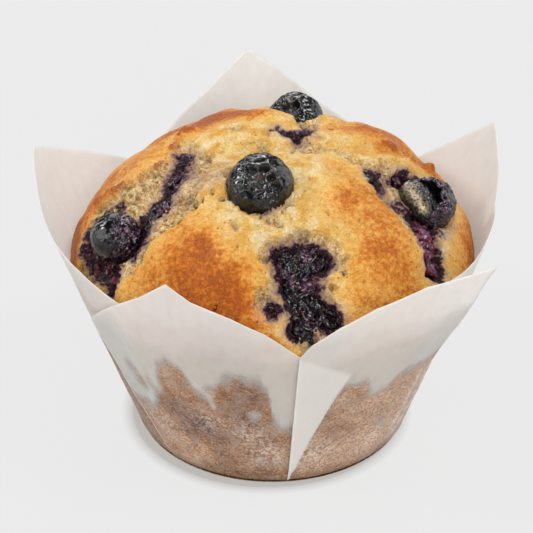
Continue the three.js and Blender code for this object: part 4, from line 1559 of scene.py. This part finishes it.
def cup_profile(circle):
    """Rows from the foot up the outer ball to where the hollow ball cuts it, and down the hollow."""
    radius = float(np.mean(CUP_RADII))
    rim = (radius**2 - CUP_HOLLOW**2 + CUP_SHIFT**2) / (2 * CUP_SHIFT)
    outer_end, inner_end = math.acos(-rim / radius), math.acos((CUP_SHIFT - rim) / CUP_HOLLOW)
    notch = 1 - 0.10 * (1 + rough_noise(circle * 6, 2.0, 3, 501))
    rows = cup_rows(radius, 0, outer_end, notch, np.linspace(0.02, 1, CUP_RINGS))
    rows += cup_rows(CUP_HOLLOW, CUP_SHIFT, inner_end, notch, np.linspace(1, 0.02, CUP_RINGS))
    return np.vstack([np.column_stack([circle[:, :2] * row[:, :1], row[:, 1]]) for row in rows])


def torn_cup(at):
    local = cup_profile(around(1, np.linspace(0, 2 * math.pi, BERRY_SIDES, endpoint=False), 0))
    inside = np.repeat([0, 1], CUP_RINGS * BERRY_SIDES)
    ways = local / np.linalg.norm(local, axis=1, keepdims=True)
    wrinkle = 0.3 * rough_noise(local, 2.2, 3, 511) - 0.2 * ridges(local, 1.4, 2, 521)
    local = local + (wrinkle * (1 - 0.5 * inside))[:, None] * ways
    scale = np.array(CUP_RADII) / float(np.mean(CUP_RADII))
    points = (local @ turned_to(CUP_OPENING.normalized()).T) * scale + np.array(at)
    from_rim = np.repeat(np.abs(np.arange(2 * CUP_RINGS) - CUP_RINGS), BERRY_SIDES)
    flesh = (0.5 - 0.4 * inside) + 0.5 * bump(from_rim, CUP_RINGS * 0.2)
    faces = [face[::-1] for face in ball_faces(2 * CUP_RINGS)]
    return points, faces, berry_masks(len(points), flesh=flesh)


settle(make_piece("berry_right_cup", *torn_cup(TORN_SKIN["at"]), BERRY), "berry_skin", "berry_right")

# %% [markdown]
# The bared flesh in the cup is one long ball that leans to the side. A pale, dry streak of crumb
# sticks to its face, and shallow creases run along it.

# %% Bare oval
OVAL_AT = (30.1, -8.0, 55.2)
OVAL_RADII = (3.6, 5.0, 5.6)
OVAL_LEAN = 34
OVAL_FACE = (0, -0.85, 0.52)


def bare_oval():
    ways, _, _ = ball_directions()
    local = ways * np.array(OVAL_RADII)
    grow = 0.12 * rough_noise(local, 2.6, 3, 531) - 0.2 * ridges(local * [1, 1, 0.6], 1.0, 2, 541)
    tipped = np.array(Matrix.Rotation(math.radians(OVAL_LEAN), 3, Vector(OVAL_FACE)))
    points = (local + grow[:, None] * ways) @ tipped.T + np.array(OVAL_AT)
    streak = bump(local[:, 0] + 0.2 + 0.6 * rough_noise(local, 1.5, 3, 551), 1.0)
    streak *= 0.9 * smooth_step(3.8, 1.4, np.abs(local[:, 2] - 3.2))
    masks = berry_masks(len(points), flesh=np.full(len(points), 0.1), dry=streak)
    return points, ball_faces(BERRY_RINGS), masks


settle(make_piece("berry_right_oval", *bare_oval(), BERRY), "berry_skin", "berry_right")

# %% [markdown]
# ## Strips of flesh and juice
# Where a berry burst, its flesh lies in the crater as a wet, folded mass. Many small lumps are
# scattered along each strip, and a voxel remesh melts them into one closed skin, as heat did.
# Noise then pulls that skin into folds.

# %% Cloud of lumps
LUMPS_PER_MM = 3.0
LUMP_MARGIN = 0.9
LUMP_SINK = 1.1


def lump_cloud(runs, draw):
    """Middles and radii of lumps scattered over runs of (x, y, half width) marks on the dome."""
    middles, radii = [], []
    for run in runs:
        for (x0, y0, w0), (x1, y1, w1) in zip(run, run[1:]):
            length = math.dist(on_dome(x0, y0), on_dome(x1, y1))
            for _ in range(int(length * max(w0, w1) * LUMPS_PER_MM) + 5):
                share, aside, turn = draw.random(), draw.random() ** 0.6, draw.random() * 2 * math.pi
                wide = w0 + (w1 - w0) * share
                size = (0.3 + 0.9 * draw.random() ** 2) * min(1.5, 0.35 + 0.4 * wide)
                reach = max(0, wide + LUMP_MARGIN - 0.5 * size) * aside
                x = x0 + (x1 - x0) * share + reach * math.cos(turn)
                y = y0 + (y1 - y0) * share + reach * math.sin(turn)
                sunk = LUMP_SINK * min(1, 0.5 + 0.3 * max(w0, w1)) + 0.5 * size
                middles.append((x, y, draw.uniform(-0.3, 0.55) * (1.2 - aside) - sunk))
                radii.append(size)
    places = np.array([on_dome(x, y) for x, y, _ in middles])
    rise = large_relief(places) + np.array([height for _, _, height in middles])
    return places + rise[:, None] * dome_normals(places), np.array(radii)


print("strips of flesh to fill:", ", ".join(FLESH_RUNS))

# %% [markdown]
# A voxel remesh reads the lumps as solids on a fine grid and skins them together. The grid is
# counted in millimetres here, as if these were metres, because that is where the tool works best.


# %% Melt the lumps into one mass
FLESH_VOXEL = 0.26
THIN_FLESH = {
    "pulp_right": 0.6, "pulp_right_top": 0.4, "pulp_left_drip": 0.1, "pulp_left": 0.3, "pulp_top": 0.55,
}
JAM_SHARE = {"pulp_right": 0.6, "pulp_right_top": 0.3, "pulp_left_drip": 0.5, "pulp_top": 0.3}


def melted(name, middles, radii):
    """One closed mesh that wraps all the lumps, worked out at a thousand times its size."""
    shape = bmesh.new()
    for middle, radius in zip(middles, radii):
        squash = Matrix.Diagonal((1, 1, 0.8, 1))
        place = Matrix.Translation(Vector(middle)) @ squash
        bmesh.ops.create_icosphere(shape, subdivisions=2, radius=float(radius), matrix=place)
    mesh = bpy.data.meshes.new(name)
    shape.to_mesh(mesh)
    shape.free()
    lumps = bpy.data.objects.new(name, mesh)
    bpy.context.collection.objects.link(lumps)
    melt = lumps.modifiers.new("melt", "REMESH")
    melt.mode = "VOXEL"
    melt.voxel_size = FLESH_VOXEL
    ready = lumps.evaluated_get(bpy.context.evaluated_depsgraph_get()).to_mesh()
    points = np.array([vertex.co[:] for vertex in ready.vertices])
    normals = np.array([vertex.normal[:] for vertex in ready.vertices])
    faces = [list(face.vertices) for face in ready.polygons]
    bpy.data.objects.remove(lumps)
    bpy.data.meshes.remove(mesh)
    return points, normals, faces


def flesh_strip(name, runs, material, draw):
    middles, radii = lump_cloud(runs, draw)
    points, normals, faces = melted(name, middles, radii)
    folds = 0.5 * rough_noise(points, 3.0, 3, 601) + 0.22 * ridges(points, 1.7, 1, 611) - 0.2
    points = points + folds[:, None] * normals
    thin = THIN_FLESH.get(name, 0.0) + 0.8 * spots(points, FLAKES)
    thin = thin + 0.5 * smooth_step(0.3, -0.5, folds) + 0.5 * smooth_step(0.1, 0.7, noise(points, 2.5, 621))
    jam = np.full(len(points), JAM_SHARE.get(name, 0.0))
    return make_piece(name + "_flesh", points, faces, {"thin": thin, "jam": jam}, material)


# %% [markdown]
# ## Wet flesh
# Almost black where it is thick, purple and mauve where a shred is thin, and dark red where it has
# cooked to jam. It is wet all over: low roughness with soft bumps breaks the mirrored light up into
# many small glints.


# %% Material of the flesh
def flesh_colours(tree):
    """Darker the thicker it is, with a few seeds, pale fringes on thin shreds that are also painted glints,
    and jam.
    """
    thin = mask_of(tree, "thin")
    tone = plus(tree, times(tree, thin, 0.55), times(tree, mottle(tree, 0.9, 0.3, 0.7, 5.0), 0.45))
    flesh = ramp(tree, tone, [
        (0.2, (3, 1, 2)),
        (0.5, (14, 4, 9)),
        (0.72, (66, 24, 54)),
        (0.92, (168, 112, 146)),
    ])
    # Pale lilac specks: fibres on thin shreds, and also painted glints.
    fringe_and_glint = times(tree, mottle(tree, 0.55, 0.5, 0.64, 2.0), mottle(tree, 2.6, 0.45, 0.6, 3.0))
    fringe_and_glint = times(tree, fringe_and_glint, remap(tree, thin, 0, 0.6, 0.08, 0.25))
    return laid_over(tree, flesh, [
        (times(tree, speckle(tree, 2.0, 0.10, 0.05), 0.6), (130, 60, 50)),
        (fringe_and_glint, (160, 126, 148)),
        (times(tree, mask_of(tree, "jam"), mottle(tree, 1.4)), (126, 26, 44)),
    ])


def flesh_material():
    material, tree, shader = new_material("berry flesh")
    wet = remap(tree, mottle(tree, 0.8, 0.3, 0.7), 0, 1, 0.1, 0.34)
    set_shader(tree, shader, Base_Color=flesh_colours(tree), Roughness=wet, Specular_IOR_Level=0.36)
    relief(tree, shader, mottle(tree, 1.3, 0.25, 0.75, 1.0), 0.13)
    return material


FLESH = flesh_material()
shuffle = random.Random(7)
for name, runs in FLESH_RUNS.items():
    settle(flesh_strip(name, runs, FLESH, shuffle), "berry_flesh", name)

# %% [markdown]
# ## Loose crumbs
# Torn cake sheds crumbs that lie in the tears. Each is a small ball with its points pushed about,
# and all of them are one piece.


# %% Crumbs
CRUMB_TRIES = 260
CRUMB_REACH = 38
CRUMB_SIZES = (0.16, 0.5)
FLESH_GAP = 0.6
BERRY_GAP = 0.8
CUP_REACH = 6.8


def crumb_places(draw):
    """Random places on the dome, of which those in a tear and clear of berries and flesh stay."""
    places = []
    while len(places) < CRUMB_TRIES:
        turn, reach = draw.random() * 2 * math.pi, CRUMB_REACH * math.sqrt(draw.random())
        places.append(on_dome(reach * math.cos(turn), reach * math.sin(turn)))
    places = np.array(places)
    tear, _ = tear_mask(places)
    free = beyond_runs(places, ALL_FLESH) > FLESH_GAP
    for berry in BERRIES.values():
        free &= np.linalg.norm(places - berry["at"], axis=1) > berry["wide"] + BERRY_GAP
    free &= np.linalg.norm(places - TORN_SKIN["at"], axis=1) > CUP_REACH
    return places[(tear > 0.6) & free]


def unit_ball():
    """Points and faces of a small ball of triangles."""
    shape = bmesh.new()
    bmesh.ops.create_icosphere(shape, subdivisions=2, radius=1.0)
    points = np.array([vertex.co[:] for vertex in shape.verts])
    faces = np.array([[vertex.index for vertex in face.verts] for face in shape.faces])
    shape.free()
    return points, faces


def build_crumbs(material):
    draw = random.Random(11)
    unit, corners = unit_ball()
    places = crumb_places(draw)
    rise, _ = cake_surface(places)
    places = places + (rise + 0.1)[:, None] * dome_normals(places)
    points, faces = [], []
    for number, place in enumerate(places):
        size = draw.uniform(*CRUMB_SIZES)
        lumpy = unit * (1 + 0.6 * noise(unit * 2 + number * 9.0, 1.0, 701))[:, None]
        points.append(lumpy * size * [1, 1, 0.8] + place)
        faces += (corners + number * len(unit)).tolist()
    count = len(places) * len(unit)
    masks = {"brown": np.full(count, 0.3), "tear": np.full(count, 1.0)}
    masks.update({name: np.zeros(count) for name in ("stain", "hollow_shade", "soft")})
    return make_piece("crumbs", np.vstack(points), faces, masks, material)


settle(build_crumbs(cake.data.materials[0]), "crust")

# %% [markdown]
# ## Floor
# A pale floor far wider than the view has no edge or corner to see. It is white because it glows a
# little by itself, so no lamp has to be strong enough to make it white. Round the foot of the case
# the glow fades a little, as a soft contact shade.

# %% Floor
FLOOR_HALF = 2.5
FLOOR_CELLS = 24
FLOOR_GLOW = 0.775
SHADE_WIDTH = 2.8
SHADE_MIDDLE = (-1.2 * MM, -1.0 * MM, 0)
SHADE_CURVE = 0.6
SHADE_TONE = (205, 202, 198)


def floor_material():
    material, tree, shader = new_material("pale floor")
    surface = blend_colour(tree, mottle(tree, 400.0, 0.3, 0.7, 2.0), (60, 60, 60), (61, 61, 61))
    place = add(tree, "ShaderNodeTexCoord").outputs["Object"]
    away = add(tree, "ShaderNodeVectorMath", {0: place, 1: SHADE_MIDDLE}, operation="DISTANCE")
    shade = remap(tree, away.outputs["Value"], FOOT_RADIUS * MM, (FOOT_RADIUS + SHADE_WIDTH) * MM)
    glow = blend_colour(tree, math_node(tree, "POWER", shade, SHADE_CURVE), SHADE_TONE, (255, 255, 255))
    set_shader(
        tree, shader, Base_Color=surface, Roughness=0.9, Specular_IOR_Level=0.0,
        Emission_Color=glow, Emission_Strength=FLOOR_GLOW,
    )
    return material


def build_floor():
    line = np.linspace(-FLOOR_HALF, FLOOR_HALF, FLOOR_CELLS + 1) / MM
    x, y = np.meshgrid(line, line)
    points = np.stack([x.ravel(), y.ravel(), np.zeros(x.size)], 1)
    faces = grid_faces(FLOOR_CELLS + 1, FLOOR_CELLS + 1, closed=False)
    make_piece("floor", points, faces, material=floor_material())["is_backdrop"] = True


build_floor()

# %% [markdown]
# ## Light
# Most light comes evenly from all round, as in a white tent. An even tent would be dull in wet
# things, so what they mirror is another one: a few bright soft boxes with dim gaps between them,
# which make the separate glints on the berries. Five far, soft lamps from all sides give the crust
# and the paper their shape.

# %% Light
TENT_GLOW = 0.56
GAP_LIGHT = 0.09
BOX_EDGE = 5
SOFT_BOXES = [
    ((-0.9, -0.24, 0.36), 26, 2.4), ((0.3, -0.9, 0.3), 15, 3.0), ((0.83, 0.45, 0.2), 24, 1.6),
    ((-0.1, 0.82, 0.56), 16, 2.4), ((0.5, -0.1, 0.86), 14, 2.4),
]
LAMPS = [
    ("key", 1.1, (0.4, -0.2, 0.9), 18),
    ("left", 1.0, (-0.9, -0.05, 0.7), 12),
    ("front", 0.9, (0.1, -1.0, 0.4), 20),
    ("back", 0.44, (0.1, 0.9, 0.55), 20),
    ("rim", 0.4, (-0.6, 0.6, 0.5), 14),
]


def add_lamp(name, strength, towards, width):
    """A far lamp that shines from the direction `towards` and looks `width` degrees wide."""
    data = bpy.data.lights.new(name, "SUN")
    data.energy = strength
    data.angle = math.radians(width)
    lamp = bpy.data.objects.new(name, data)
    lamp.rotation_euler = Vector(towards).to_track_quat("Z", "Y").to_euler()
    bpy.context.collection.objects.link(lamp)


def soft_box(tree, direction, towards, reach, glow):
    """The glow of a round box, `reach` degrees from its middle to its soft edge."""
    values = {0: direction, 1: tuple(Vector(towards).normalized())}
    near = add(tree, "ShaderNodeVectorMath", values, operation="DOT_PRODUCT").outputs["Value"]
    outer, inner = math.cos(math.radians(reach + BOX_EDGE)), math.cos(math.radians(reach))
    return remap(tree, near, outer, inner, 0, glow)


def build_tent():
    """An even white tent that glossy surfaces mirror as bright soft boxes with dim gaps."""
    world = bpy.data.worlds.new("white tent")
    world.use_nodes = True
    tree = world.node_tree
    direction = add(tree, "ShaderNodeTexCoord").outputs["Generated"]
    mirrored = plus(tree, GAP_LIGHT, *(soft_box(tree, direction, *box) for box in SOFT_BOXES))
    glossy = add(tree, "ShaderNodeLightPath").outputs["Is Glossy Ray"]
    even = times(tree, math_node(tree, "SUBTRACT", 1.0, glossy), TENT_GLOW)
    strength = plus(tree, even, times(tree, glossy, mirrored))
    tree.links.new(strength, tree.nodes["Background"].inputs["Strength"])
    tree.nodes["Background"].inputs["Color"].default_value = (1, 1, 1, 1)
    bpy.context.scene.world = world


build_tent()
bpy.context.scene.view_settings.view_transform = "Standard"
for lamp in LAMPS:
    add_lamp(*lamp)
print("soft boxes:", len(SOFT_BOXES), "and lamps:", len(LAMPS))

# %% [markdown]
# ## Finish
# The last cell shows the sizes of the dressed muffin and of the frame.

# %% Sizes
visual_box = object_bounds()
sizes = {"cad": [list(corner) for corner in CAD_BOX], "visual": [list(corner) for corner in visual_box]}
for label, (low, high) in sizes.items():
    print(label, "size in mm:", [round((b - a) / MM, 1) for a, b in zip(low, high)])
